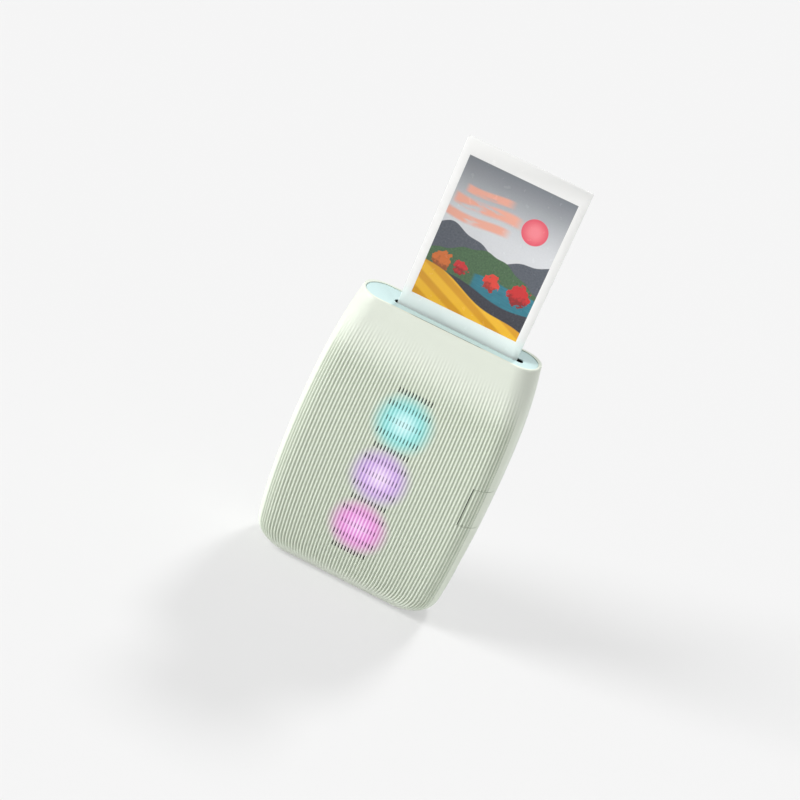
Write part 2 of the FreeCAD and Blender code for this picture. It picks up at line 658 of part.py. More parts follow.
front_wall = cut("front_wall", ribbed_blank, casing_core)
boss_rods = [rod(f"boss_{name}", "y", spot, (f"-{FAR_Y}", PLATE_FACE), "boss_radius")
             for name, spot in BOSS_SPOTS.items()]
bosses = common("bosses", fuse("boss_rods", *boss_rods), casing_middle)
PILOT_Y = (f"{CHASSIS_FRONT} - screw_length", f"{PLATE_FACE} + overrun")
pilot_holes = [rod(f"pilot_{name}", "y", spot, PILOT_Y, "screw_radius") for name, spot in BOSS_SPOTS.items()]
key_opening = block("key_opening", (KEY_FRONT_X, FAR_X), (f"-{FAR_Y}", "key_rear_y"), ("key_low", "key_high"))
LEFT_WALL_X = (f"-{FAR_X}", "-(body_width / 2 - 2 * wall)")
socket_opening = slot_along_x("socket_opening", LEFT_WALL_X, SOCKET_Y, "socket_z",
                              "socket_width + 2 * seat_gap", "socket_thick + 2 * seat_gap")
reset_hole = rod("reset_hole", "x", (RESET_Y, "reset_z"), LEFT_WALL_X, "reset_radius + key_gap")
front_body = fuse("front_body", front_wall, bosses)
piece(cut("front_shell_cut", front_body, ledge_hole, cap_recess, key_opening, socket_opening, reset_hole,
          *pilot_holes), "front_shell")

# Power key: the same ribbed wall inside the key opening, with a stem that reaches the switch

key_block = block("key_block", (f"{KEY_FRONT_X} + key_travel + tongue_gap", FAR_X),
                  (f"-{FAR_Y}", "key_rear_y - key_gap"), ("key_low + key_gap", "key_high - key_gap"))
key_stem_rod = rod("key_stem_rod", "x", ("key_stem_y", KEY_Z), (KEY_STEM_X, FAR_X), "key_stem_radius")
finger_groove = block("finger_groove", ("body_width / 2 - groove_depth", FAR_X),
                      around("groove_y", "groove_width"), around(KEY_Z, "groove_length"))
key_body = fuse("key_body", common("key_wall", front_wall, key_block),
                common("key_stem", key_stem_rod, casing_middle))
piece(cut("power_key_cut", key_body, finger_groove), "power_key")


# Rear cover: smooth wall behind the seam, with the door opening and the hinge ears


def door_prism(name, grow, low):
    """The film door's outline as a prism through the rear wall, grown at the sides and top."""
    half = f"(door_width / 2 + {grow})"
    top = f"(door_top + {grow})"
    deep = ("inner_plate_y", FAR_Y)
    wide = block(f"{name}_wide", both(half), deep, (low, f"{top} - door_corner"))
    tall = block(f"{name}_tall", both(f"({half} - door_corner)"), deep, (low, top))
    corners = []
    for hand, sign in HANDS:
        spot = (f"{sign}({half} - door_corner)", f"{top} - door_corner")
        corners.append(rod(f"{name}_corner_{hand}", "y", spot, deep, "door_corner"))
    return fuse(name, wide, tall, *corners)


HANDS = (("left", "-"), ("right", ""))
HINGE_SPOT = (HINGE_Y, "hinge_height")
hinge_rods = [rod(f"pin_{hand}", "x", HINGE_SPOT, around(f"{sign}ear_x", "pin_length"), "pin_radius")
              for hand, sign in HANDS]
ear_blocks = []
ear_rounds = []
for hand, sign in HANDS:
    ear_x = around(f"{sign}ear_x", "ear_thick")
    ear_blocks.append(block(f"ear_block_{hand}", ear_x, (f"{HINGE_Y} - ear_radius", FAR_Y),
                            ("ear_low", DOOR_LOW)))
    ear_blocks.append(block(f"ear_neck_{hand}", ear_x, around(HINGE_Y, "2 * ear_radius - wall"),
                            ("ear_low", "hinge_height")))
    ear_rounds.append(rod(f"ear_round_{hand}", "x", HINGE_SPOT, ear_x, "ear_radius"))
ear_feet = common("ear_feet", fuse("ear_blocks", *ear_blocks), casing_middle)
door_opening = door_prism("door_opening", "door_gap", DOOR_LOW)
rear_wall = cut("rear_wall", rear_blank, casing_core, door_opening, ledge_hole, cap_recess)
rear_body = fuse("rear_body", rear_wall, ear_feet, *ear_rounds)
piece(cut("rear_cover_cut", rear_body, *hinge_rods), "rear_cover")
piece(fuse("hinge_pin_pair", *hinge_rods), "hinge_pins")

# Film door: skin with a rolled lower edge, an inner frame, and a window for the latch

whole_wall = cut("whole_wall", casing_blank, casing_core)
door_skin = common("door_skin", whole_wall, door_prism("door_outline", "0", "hinge_height"))
barrel = rod("barrel", "x", HINGE_SPOT, both("door_width / 2"), "barrel_radius")
FRAME_HALF = "(door_width / 2 - door_margin)"
FRAME_TOP = "(door_top - door_frame_drop)"
PLATE_REAR = "(inner_plate_y + inner_plate_thick)"
frame_outer = block("frame_outer", both(FRAME_HALF), (PLATE_REAR, FAR_Y), ("door_frame_low", FRAME_TOP))
frame_inner = block("frame_inner", both(f"({FRAME_HALF} - door_frame_wall)"),
                    (f"{PLATE_REAR} - overrun", FAR_Y),
                    ("door_frame_low + door_frame_wall", f"{FRAME_TOP} - door_frame_wall"))
door_frame = common("door_frame", cut("door_frame_ring", frame_outer, frame_inner), casing_middle)
shelf = common("shelf", block("shelf_block", both("latch_tongue / 2"), (PLATE_REAR, FAR_Y),
                              ("shelf_z", "shelf_z + door_frame_wall")), casing_middle)
ear_notches = [block(f"ear_notch_{hand}", around(f"{sign}ear_x", "ear_thick + 2 * door_gap"),
                     (f"{HINGE_Y} - barrel_radius - overrun", FAR_Y),
                     ("hinge_height - barrel_radius - overrun", "hinge_height + barrel_radius + door_gap"))
               for hand, sign in HANDS]
pin_bores = [rod(f"pin_bore_{hand}", "x", HINGE_SPOT, around(f"{sign}ear_x", "pin_length + 2 * door_gap"),
                 "pin_radius + turn_gap") for hand, sign in HANDS]
latch_window = block("latch_window", both("(latch_width / 2 + door_gap)"), (PLATE_REAR, FAR_Y),
                     ("latch_z - latch_travel - door_gap", "latch_z + latch_height + door_gap"))
tongue_notch = block("tongue_notch", both("(latch_tongue / 2 + door_gap)"),
                     (f"{PLATE_REAR} - overrun", "tongue_rear + door_gap"),
                     (f"{FRAME_TOP} - overrun", f"{FRAME_TOP} + overrun"))
door_body = fuse("door_body", door_skin, barrel, door_frame, shelf)
piece(cut("film_door_cut", door_body, latch_window, tongue_notch, *ear_notches, *pin_bores), "film_door")

# Latch: a button in the door's window, with a tongue up to the door's top edge

LATCH_Z = ("latch_z", "latch_z + latch_height")
latch_block = block("latch_block", both("latch_width / 2"), (PLATE_REAR, FAR_Y), LATCH_Z)
button = common("latch_button", whole_wall, latch_block)
bridge = common("latch_bridge", casing_middle,
                block("bridge_block", both("latch_tongue / 2"), ("tongue_front", FAR_Y), LATCH_Z))
tongue = block("latch_tongue_bar", both("latch_tongue / 2"), ("tongue_front", "tongue_rear"),
               ("latch_z", "door_top - tongue_gap"))
piece(fuse("latch_body", button, bridge, tongue), "door_latch")

plate_body = new_body("door_plate_body")
plate_sketch = new_sketch(plate_body, "door_plate_outline", "XZ_Plane", f"-{PLATE_REAR}")
outline(plate_sketch, rectangle(both(FRAME_HALF), ("door_frame_low", FRAME_TOP)))
pad(plate_body, plate_sketch, "inner_plate_thick")
piece(plate_body, "door_inner_plate")


def coil(name, x, y, low, high):
    """A small coil spring that stands upright between two heights."""
    rise = high - low - 2 * dim.coil_wire
    helix = Part.makeHelix(rise / dim.coil_turns, rise, dim.coil_radius)
    section = Part.makeCircle(dim.coil_wire, FreeCAD.Vector(dim.coil_radius, 0, 0), FreeCAD.Vector(0, 1, 0))
    spring = feature(name, Part.Wire(helix).makePipeShell([Part.Wire(section)], True, True))
    spring.Placement = FreeCAD.Placement(FreeCAD.Vector(x, y, low + dim.coil_wire), FreeCAD.Rotation())
    return spring


def press_spring(x):
    """A bowed leaf spring on the door's inner plate, its crown just behind the film pack."""
    crown = number(PACK_REAR) + dim.seat_gap
    middle = (dim.press_low + dim.press_high) / 2
    left = x - dim.press_width / 2
    front = [(dim.inner_plate_y - dim.press_thick, dim.press_low), (crown, middle),
             (dim.inner_plate_y - dim.press_thick, dim.press_high)]
    rear = [(dim.inner_plate_y, dim.press_low), (crown + dim.press_thick, middle),
            (dim.inner_plate_y, dim.press_high)]
    front = [FreeCAD.Vector(left, y, z) for y, z in front]
    rear = [FreeCAD.Vector(left, y, z) for y, z in rear]
    edges = [Part.Arc(*front).toShape(), Part.makeLine(front[2], rear[2]), Part.Arc(*rear).toShape(),
             Part.makeLine(rear[0], front[0])]
    return Part.Face(Part.Wire(Part.__sortEdges__(edges))).extrude(FreeCAD.Vector(dim.press_width, 0, 0))


springs = [press_spring(dim.film_x + hand * dim.press_spread) for hand in (-1, 1)]
piece(feature("press_spring_pair", Part.makeCompound(springs)), "film_press_springs")
latch_coil_y = number(PLATE_REAR) + dim.coil_radius + dim.coil_wire + dim.tongue_gap
piece(coil("latch_coil", 0, latch_coil_y, dim.shelf_z + dim.door_frame_wall,
           dim.latch_z - dim.tongue_gap), "latch_spring")

# Top cap with the film slot

cap_plate = stadium("cap_plate", "top_width / 2 - cap_rim - cap_gap", "top_depth / 2 - cap_rim - cap_gap",
                    (CAP_LOW, "body_height - cap_sunk"))
film_slot = stadium("film_slot", "slot_length / 2", "slot_width / 2", (f"{CAP_LOW} - overrun", ABOVE),
                    "(film_x + slot_shift)", "film_y")
piece(cut("top_cap_cut", cap_plate, film_slot), "top_cap")

# Chassis: film chamber with screw tabs, board posts and the rails of the film claw

BOARD_WIDE = "(board_right - board_left)"
BOARD_TALL = "(board_high - board_low)"
BOARD_POST_SHARES = ((0.3, 0.05), (0.93, 0.05), (0.3, 0.95), (0.93, 0.95))
LIGHT_POST_SHARES = ((-0.7, 0.07), (-0.7, 0.95), (0.7, 0.95))
PLATE_Y = (PLATE_FACE, CHASSIS_FRONT)
SIDE_Y = (PLATE_FACE, "chassis_rear")
CHASSIS_Z = (CHASSIS_LOW, "chassis_high")
CHASSIS_X = (f"({CHASSIS_LEFT} - chassis_wall)", f"({CHASSIS_RIGHT} + chassis_wall)")
LIGHT_HALF = "(light_box_width / 2 - seat_gap)"
LIGHT_LOW = "(light_middle_z - light_box_rise + light_box_wall)"
LIGHT_HIGH = "(light_middle_z + light_box_rise - light_box_wall)"

chassis_parts = [
    block("chassis_front", CHASSIS_X, PLATE_Y, CHASSIS_Z),
    block("chassis_left", (CHASSIS_X[0], CHASSIS_LEFT), SIDE_Y, CHASSIS_Z),
    block("chassis_right", (CHASSIS_RIGHT, CHASSIS_X[1]), SIDE_Y, CHASSIS_Z),
    block("chassis_floor", CHASSIS_X, SIDE_Y, (CHASSIS_LOW, f"{CHASSIS_LOW} + chassis_wall")),
]
for spot_name, (spot_x, spot_z) in BOSS_SPOTS.items():
    reach = (spot_x, CHASSIS_X[0]) if "left" in spot_name else (CHASSIS_X[1], spot_x)
    chassis_parts.append(block(f"tab_{spot_name}", reach, PLATE_Y, around(spot_z, "2 * boss_radius")))
    chassis_parts.append(rod(f"tab_end_{spot_name}", "y", (spot_x, spot_z), PLATE_Y, "boss_radius"))
for index, (across, up) in enumerate(BOARD_POST_SHARES):
    at = (f"board_left + {across} * {BOARD_WIDE}", f"board_low + {up} * {BOARD_TALL}")
    chassis_parts.append(rod(f"board_post_{index}", "y", at, (f"{PLATE_FACE} - standoff", CHASSIS_FRONT),
                             "light_post_radius"))
for index, (across, up) in enumerate(LIGHT_POST_SHARES):
    at = (f"{across} * {LIGHT_HALF}", f"{LIGHT_LOW} + {up} * ({LIGHT_HIGH} - {LIGHT_LOW})")
    chassis_parts.append(rod(f"light_post_{index}", "y", at, ("light_board_y + board_thick", CHASSIS_FRONT),
                             "light_post_radius"))
RAIL_INNER = "(slider_width / 2 + seat_gap)"
RAIL_OUTER = f"({RAIL_INNER} + rail_thick)"
rail_space = (f"{CLAW_X} - {RAIL_OUTER}", f"{CLAW_X} + {RAIL_OUTER}")
chassis_parts += [
    block("rail_left", (rail_space[0], f"{CLAW_X} - {RAIL_INNER}"), (PLATE_FACE, "rail_rear"),
          ("rail_low", CHASSIS_LOW)),
    block("rail_right", (f"{CLAW_X} + {RAIL_INNER}", rail_space[1]), (PLATE_FACE, "rail_rear"),
          ("rail_low", CHASSIS_LOW)),
    block("rail_front", rail_space, PLATE_Y, ("rail_low", CHASSIS_LOW)),
    block("rail_stop", rail_space, (PLATE_FACE, "rail_rear"), ("rail_low", "slider_low - seat_gap")),
]
claw_slot = block("claw_slot", around(CLAW_X, "claw_width + 2 * pack_gap"),
                  (f"{CLAW_Y[0]} - pack_gap", f"{CLAW_Y[1]} + pack_gap"),
                  (f"{CHASSIS_LOW} - overrun / 2", f"{CHASSIS_LOW} + chassis_wall + overrun / 2"))
tab_holes = [rod(f"tab_hole_{name}", "y", spot, (f"{PLATE_FACE} - seat_gap", f"{CHASSIS_FRONT} + overrun"),
                 "screw_radius") for name, spot in BOSS_SPOTS.items()]
piece(cut("chassis_cut", fuse("chassis_body", *chassis_parts), claw_slot, *tab_holes), "chassis")

screw_parts = []
for spot_name, spot in BOSS_SPOTS.items():
    head = rod(f"screw_head_{spot_name}", "y", spot, (CHASSIS_FRONT, f"{CHASSIS_FRONT} + screw_head_thick"),
               "screw_head_radius")
    shank = rod(f"screw_shank_{spot_name}", "y", spot, (f"{CHASSIS_FRONT} - screw_length", CHASSIS_FRONT),
                "screw_radius")
    drive = block(f"screw_drive_{spot_name}", around(spot[0], "2 * screw_radius"),
                  (f"{CHASSIS_FRONT} + screw_head_thick / 2", f"{CHASSIS_FRONT} + overrun"),
                  around(spot[1], "seat_gap"))
    screw_parts.append(cut(f"screw_{spot_name}", fuse(f"screw_blank_{spot_name}", head, shank), drive))
piece(fuse("screw_group", *screw_parts), "chassis_screws")

# Roller frame: gear plate on the left, small plate on the right and a cross bar

gear_plate = new_body("gear_plate")
gear_plate_sketch = new_sketch(gear_plate, "gear_plate_outline", "YZ_Plane", f"{FRAME_LEFT} - plate_thick")
outline(gear_plate_sketch, [
    ("frame_front_low", "frame_low"),
    ("frame_rear_low", "frame_low"),
    ("frame_rear_low", "frame_bend_low"),
    ("frame_rear", "frame_right_low"),
    ("frame_rear", "frame_high"),
    ("frame_front_high", "frame_high"),
    ("frame_front_low", "frame_bend_low"),
])
pad(gear_plate, gear_plate_sketch, "plate_thick")
RIGHT_PLATE_X = (FRAME_RIGHT, f"{FRAME_RIGHT} + plate_thick")
PLATE_X = (f"{FRAME_LEFT} - plate_thick", FRAME_LEFT)
right_plate = new_body("right_plate")
right_plate_sketch = new_sketch(right_plate, "right_plate_outline", "YZ_Plane", FRAME_RIGHT)
outline(right_plate_sketch, [
    ("frame_front_high", "frame_right_low"),
    ("frame_rear", "frame_right_low"),
    ("frame_rear", "frame_high"),
    ("frame_front_top", "frame_high"),
    ("frame_front_high", "bar_high"),
])
pad(right_plate, right_plate_sketch, "plate_thick")
cross_bar = block("cross_bar", (FRAME_LEFT, FRAME_RIGHT),
                  ("frame_front_high", "frame_front_high + bar_thick"), ("frame_right_low", "bar_high"))
ROLLER_SPOTS = ((FRONT_ROLLER_Y, "nip_height"), (REAR_ROLLER_Y, "nip_height"))
UPPER_PIN = ("upper_idler_y", UPPER_IDLER_Z)
LOWER_PIN = ("lower_idler_y", LOWER_IDLER_Z)
MOTOR_AXIS = ("motor_y", MOTOR_Z)
THROUGH = (f"{FRAME_LEFT} - plate_thick - overrun", f"{FRAME_RIGHT} + plate_thick + overrun")
LEFT_THROUGH = (f"{FRAME_LEFT} - plate_thick - overrun", f"{FRAME_LEFT} + overrun / 2")
frame_holes = [rod(f"bush_hole_{index}", "x", spot, THROUGH, "bush_radius")
               for index, spot in enumerate(ROLLER_SPOTS)]
frame_holes += [rod(f"gear_pin_hole_{index}", "x", spot, LEFT_THROUGH, "gear_pin_radius")
                for index, spot in enumerate((UPPER_PIN, LOWER_PIN))]
frame_holes.append(rod("shaft_hole", "x", MOTOR_AXIS, LEFT_THROUGH, "shaft_radius + seat_gap"))
frame_body = fuse("frame_body", gear_plate, right_plate, cross_bar)
piece(cut("roller_frame_cut", frame_body, *frame_holes), "roller_frame")

BUSH_X = {
    "left": (f"{PLATE_X[0]} - seat_gap / 2", f"{FRAME_LEFT} + 2 * seat_gap"),
    "right": (f"{FRAME_RIGHT} - 2 * seat_gap", f"{RIGHT_PLATE_X[1]} + pack_gap"),
}
bush_parts = []
for hand, bush_x in BUSH_X.items():
    for index, spot in enumerate(ROLLER_SPOTS):
        outer = rod(f"bush_outer_{hand}_{index}", "x", spot, bush_x, "bush_radius")
        bore = rod(f"bush_bore_{hand}_{index}", "x", spot, THROUGH, "axle_radius + turn_gap")
        bush_parts.append(cut(f"bush_{hand}_{index}", outer, bore))
piece(fuse("bush_group", *bush_parts), "roller_bushes")

LEAF_Y = (f"({FRONT_ROLLER_Y} - bush_radius - press_thick)", f"({FRONT_ROLLER_Y} - bush_radius)")
leaf_parts = []
for hand, leaf_x in (("left", (FRAME_LEFT, f"{FRAME_LEFT} + leaf_width")),
                     ("right", (f"{FRAME_RIGHT} - leaf_width", FRAME_RIGHT))):
    upright = block(f"leaf_{hand}", leaf_x, LEAF_Y, ("leaf_low", "leaf_high"))
    foot = block(f"leaf_foot_{hand}", leaf_x, ("frame_front_high + bar_thick", LEAF_Y[1]),
                 ("leaf_low", "leaf_low + press_thick"))
    leaf_parts.append(fuse(f"leaf_spring_{hand}", upright, foot))
piece(fuse("leaf_group", *leaf_parts), "roller_pressure_springs")

# Exposure head across the film, under the rollers

LENS_FRONT = "(film_y + film_thick / 2 + lens_gap)"
LENS_Y = (LENS_FRONT, f"({LENS_FRONT} + lens_depth)")
nose = block("head_nose", around("film_x", "head_nose_width"), (LENS_Y[1], "head_front"),
             ("head_low", "head_nose_top"))
head_bar = block("head_bar", (FRAME_LEFT, RIGHT_PLATE_X[1]), ("head_front", "head_rear"),
                 ("head_low", "head_top"))
piece(fuse("head_body", nose, head_bar), "print_head")
lens_height = around("(head_low + head_nose_top) / 2", "lens_height")
lens_x = around("film_x", "head_nose_width - overrun")
piece(block("lens_strip", lens_x, LENS_Y, lens_height), "print_head_lens")

# Drive motor with flattened sides, and the pins that the idlers turn on

MOTOR_X = (FRAME_LEFT, f"{FRAME_LEFT} + motor_length")
motor_can = rod("motor_can", "x", MOTOR_AXIS, MOTOR_X, "motor_radius")
motor_flats = block("motor_flats", MOTOR_X, around("motor_y", "2 * motor_flat"),
                    around(MOTOR_Z, "2 * motor_radius"))
SHAFT_END = f"({FRAME_LEFT} + shaft_run)"
shaft_bore = rod("shaft_bore", "x", MOTOR_AXIS, (f"{FRAME_LEFT} - overrun", f"{SHAFT_END} + turn_gap"),
                 "shaft_radius + turn_gap")
piece(cut("motor_cut", common("motor_body", motor_can, motor_flats), shaft_bore), "drive_motor")

pin_parts = []
for index, spot in enumerate((UPPER_PIN, LOWER_PIN)):
    stem = rod(f"gear_pin_stem_{index}", "x", spot, (AXLE_LEFT, FRAME_LEFT), "gear_pin_radius")
    head = rod(f"gear_pin_head_{index}", "x", spot, (AXLE_LEFT, f"{AXLE_LEFT} + pin_head_thick"),
               "pin_head_radius")
    pin_parts.append(fuse(f"gear_pin_{index}", stem, head))
piece(fuse("gear_pin_group", *pin_parts), "gear_pins")

# Rollers and the gear train

ROLLER_X = around("film_x", "roller_length")
AXLE_RIGHT = f"({RIGHT_PLATE_X[1]} + 2 * seat_gap)"
roller_outline = [
    (AXLE_LEFT, "0"),
    (AXLE_RIGHT, "0"),
    (AXLE_RIGHT, "axle_radius"),
    (ROLLER_X[1], "axle_radius"),
    (ROLLER_X[1], "roller_radius"),
    (ROLLER_X[0], "roller_radius"),
    (ROLLER_X[0], "axle_radius"),
    (AXLE_LEFT, "axle_radius"),
]
piece(lathe("front_roller_body", roller_outline, *ROLLER_SPOTS[0]), "front_roller")
piece(lathe("rear_roller_body", roller_outline, *ROLLER_SPOTS[1]), "rear_roller")
piece(rod("motor_shaft_rod", "x", MOTOR_AXIS, (AXLE_LEFT, SHAFT_END), "shaft_radius"), "motor_shaft")

PRESSURE_ANGLE = math.radians(20)
ADDENDUM_SHARE = 0.8
DEDENDUM_SHARE = 1.05
FLANK_STEPS = 3


def gear_shape(teeth, bore):
    """A spur gear about the X axis with involute flanks, one tooth centred on +Y."""
    pitch = teeth * dim.gear_module / 2
    tip = pitch + ADDENDUM_SHARE * dim.gear_module
    root = pitch - DEDENDUM_SHARE * dim.gear_module
    base = pitch * math.cos(PRESSURE_ANGLE)
    half_tooth = math.pi / (2 * teeth) - dim.gear_backlash / (2 * pitch)
    involute = math.tan(PRESSURE_ANGLE) - PRESSURE_ANGLE

    def spot(radius, turn):
        return FreeCAD.Vector(0, radius * math.cos(turn), radius * math.sin(turn))

    def half_angle(radius):
        lean = math.acos(min(1.0, base / radius))
        return half_tooth + involute - (math.tan(lean) - lean)

    start = max(base, root)
    radii = [start + (tip - start) * step / FLANK_STEPS for step in range(FLANK_STEPS + 1)]
    points = []
    for tooth in range(teeth):
        middle = 2 * math.pi * tooth / teeth
        rising = [spot(radius, middle - half_angle(radius)) for radius in radii]
        falling = [spot(radius, middle + half_angle(radius)) for radius in reversed(radii)]
        points.append([spot(root, middle - half_angle(start))] + rising)
        points.append(falling + [spot(root, middle + half_angle(start))])
    flat = [point for run in points for point in run]
    wire = Part.makePolygon(flat + [flat[0]])
    blank = Part.Face(wire).extrude(FreeCAD.Vector(dim.gear_width, 0, 0))
    hole = Part.makeCylinder(bore, dim.gear_width, FreeCAD.Vector(), FreeCAD.Vector(1, 0, 0))
    return blank.cut(hole)


def gear(label, teeth, bore, at, turn):
    """A gear on its axis, turned by an angle from +Y towards +Z."""
    made = feature(f"{label}_solid", gear_shape(round(teeth), bore))
    place = FreeCAD.Vector(number(GEAR_LEFT), number(at[0]), number(at[1]))
    made.Placement = FreeCAD.Placement(place, FreeCAD.Rotation(FreeCAD.Vector(1, 0, 0), math.degrees(turn)))
    return piece(made, label)


def meshing_turn(teeth, turn, at, other_teeth, other_at):
    """The turn of a second gear whose tooth spaces meet the first gear's teeth."""
    line = math.atan2(number(other_at[1]) - number(at[1]), number(other_at[0]) - number(at[0]))
    return line + math.pi + (teeth * (line - turn) - math.pi) / other_teeth


loose_bore = dim.gear_pin_radius + dim.turn_gap
gear("front_roller_gear", dim.roller_teeth, dim.axle_radius, ROLLER_SPOTS[0], 0.0)
rear_turn = meshing_turn(dim.roller_teeth, 0.0, ROLLER_SPOTS[0], dim.roller_teeth, ROLLER_SPOTS[1])
gear("rear_roller_gear", dim.roller_teeth, dim.axle_radius, ROLLER_SPOTS[1], rear_turn)
upper_turn = meshing_turn(dim.roller_teeth, 0.0, ROLLER_SPOTS[0], dim.upper_teeth, UPPER_PIN)
gear("upper_idler_gear", dim.upper_teeth, loose_bore, UPPER_PIN, upper_turn)
lower_turn = meshing_turn(dim.upper_teeth, upper_turn, UPPER_PIN, dim.lower_teeth, LOWER_PIN)
gear("lower_idler_gear", dim.lower_teeth, loose_bore, LOWER_PIN, lower_turn)
pinion_turn = meshing_turn(dim.lower_teeth, lower_turn, LOWER_PIN, dim.pinion_teeth, MOTOR_AXIS)
gear("motor_pinion", dim.pinion_teeth, dim.shaft_radius, MOTOR_AXIS, pinion_turn)

# Film pack, the unused films in it, and the print on its way out

pack_outer = block("pack_outer", PACK_X, (PACK_FRONT, PACK_REAR), ("pack_base", PACK_TOP))
pack_cavity = block("pack_cavity", PACK_INNER_X, (f"{PACK_FRONT} + pack_wall", f"{PACK_REAR} - pack_wall"),
                    ("pack_base + pack_wall", f"{PACK_TOP} - pack_wall"))
pack_window = block("pack_window", around("film_x", "pack_window_width"),
                    (f"{PACK_FRONT} - overrun", f"{PACK_FRONT} + pack_wall + seat_gap"),
                    ("window_low", "window_low + pack_window_height"))
pack_slot = block("pack_slot", PACK_INNER_X,
                  (f"{PACK_FRONT} + pack_wall", "film_y + film_thick / 2 + pack_front_gap"),
                  (f"{PACK_TOP} - overrun", f"{PACK_TOP} + overrun"))
pack_notch = block("pack_notch", around(CLAW_X, "claw_width + 2 * pack_gap"),
                   (f"{PACK_FRONT} + pack_wall", f"{CLAW_Y[1]} + pack_gap"),
                   ("pack_base - overrun", "pack_base + overrun"))
PACK_BACK_Y = (f"{PACK_REAR} - pack_wall - seat_gap", f"{PACK_REAR} + overrun")
PRESS_MIDDLES = {"left": "(film_x - press_spread)", "right": "(film_x + press_spread)"}
rear_windows = [block(f"rear_window_{hand}", around(middle, "press_width + 2 * pack_gap"), PACK_BACK_Y,
                      ("press_low", "press_high")) for hand, middle in PRESS_MIDDLES.items()]
piece(cut("pack_cut", pack_outer, pack_cavity, pack_window, pack_slot, pack_notch, *rear_windows),
      "film_pack_shell")

FILM_X = around("film_x", "film_width")
piece(block("stack_block", FILM_X, (STACK_FRONT, f"{STACK_FRONT} + stack_depth"),
            (STACK_LOW, f"{STACK_LOW} + film_height")), "film_stack")

film_body = new_body("film_print_body")
film_sketch = new_sketch(film_body, "film_print_outline", "XZ_Plane", "-(film_y + film_thick / 2)")
outline(film_sketch, rectangle(FILM_X, (REST_BASE, f"{REST_BASE} + film_height")))
pad(film_body, film_sketch, "film_thick")
piece(film_body, "film_print")

# Film claw with its slider and return spring

claw_slider = block("claw_slider", around(CLAW_X, "slider_width"), ("slider_front", "slider_rear"),
                    ("slider_low", "slider_high"))
claw_strip = block("claw_strip", around(CLAW_X, "claw_width"), CLAW_Y,
                   ("slider_low", f"{STACK_LOW} - seat_gap"))
piece(fuse("claw_body", claw_slider, claw_strip), "film_claw")
piece(coil("claw_coil", number(CLAW_X), dim.claw_coil_y, dim.slider_high + dim.tongue_gap,
           number(CHASSIS_LOW) - dim.tongue_gap), "claw_spring")

# Main board with its chips, and the battery

main_board_body = new_body("main_board_body")
board_offset = f"-({BOARD_FRONT} + board_thick)"
board_sketch = new_sketch(main_board_body, "main_board_outline", "XZ_Plane", board_offset)
outline(board_sketch, [
    ("board_left", "board_low"),
    ("board_right", "board_low"),
    ("board_right", "board_high"),
    ("board_left", "board_high"),
    ("board_left", "board_tab_high"),
    (BOARD_TAB_LEFT, "board_tab_high"),
    (BOARD_TAB_LEFT, "board_tab_low"),
    ("board_left", "board_tab_low"),
])
pad(main_board_body, board_sketch, "board_thick")
piece(main_board_body, "main_board")

CHIP_SHARES = (
    (0.10, 0.40, 0.42, 0.18, 1.3),
    (0.62, 0.44, 0.28, 0.12, 1.0),
    (0.12, 0.72, 0.24, 0.10, 1.4),
    (0.50, 0.80, 0.30, 0.08, 2.4),
    (0.15, 0.12, 0.18, 0.08, 1.8),
    (0.60, 0.16, 0.24, 0.12, 1.2),
)
chip_parts = []
for index, (left, low, wide, tall, thick) in enumerate(CHIP_SHARES):
    chip_x = (f"board_left + {left} * {BOARD_WIDE}", f"board_left + {left + wide} * {BOARD_WIDE}")
    chip_y = (f"{BOARD_FRONT} - {thick} * board_thick", BOARD_FRONT)
    chip_z = (f"board_low + {low} * {BOARD_TALL}", f"board_low + {low + tall} * {BOARD_TALL}")
    chip_parts.append(block(f"chip_{index}", chip_x, chip_y, chip_z))
piece(fuse("chip_group", *chip_parts), "board_chips")

battery_body = new_body("battery_body")
battery_sketch = new_sketch(battery_body, "battery_outline", "XZ_Plane", f"-{PLATE_FACE}")
battery_x = ("battery_left", "battery_left + battery_width")
outline(battery_sketch, rectangle(battery_x, ("battery_low", "battery_low + battery_height")))
battery_pad = pad(battery_body, battery_sketch, "battery_thick")
DOC.recompute()
battery_round = battery_body.newObject("PartDesign::Fillet", "battery_round")
upright_edges = [f"Edge{index + 1}" for index, edge in enumerate(battery_pad.Shape.Edges)
                 if abs(edge.tangentAt(edge.FirstParameter).z) > 1 - dim.turn_gap]
battery_round.Base = (battery_pad, upright_edges)
battery_round.setExpression("Radius", bind("battery_corner"))
piece(battery_body, "battery")

# Lights: board, three lights, a box that keeps them apart and a diffuser against the shell

light_board_y = ("light_board_y", "light_board_y + board_thick")
piece(block("light_board_plate", both(LIGHT_HALF), light_board_y, (LIGHT_LOW, LIGHT_HIGH)), "light_board")
LIGHT_HEIGHTS = {
    "upper": "(light_middle_z + light_pitch)",
    "middle": "light_middle_z",
    "lower": "(light_middle_z - light_pitch)",
}
light_space = block("light_space", both("light_box_width / 2"), (f"-{FAR_Y}", "light_board_y"),
                    around("light_middle_z", "2 * light_box_rise"))
light_cells = []
for name, height in LIGHT_HEIGHTS.items():
    chip_y = ("light_board_y - light_thick", "light_board_y")
    piece(block(f"light_chip_{name}", both("light_size / 2"), chip_y, around(height, "light_size")),
          f"light_{name}")
    light_cells.append(block(f"light_cell_{name}", both("(light_box_width / 2 - light_box_wall)"),
                             (f"-{FAR_Y}", "light_board_y + seat_gap"),
                             around(height, "light_pitch - light_box_wall")))
piece(cut("light_box_cut", common("light_box_blank", diffuser_inner, light_space), *light_cells), "light_box")
diffuser_shell = cut("diffuser_shell", diffuser_outer, diffuser_inner)
piece(common("diffuser_strip", diffuser_shell, light_space), "light_diffuser")

# Charging socket with its contact tongue, reset switch and button

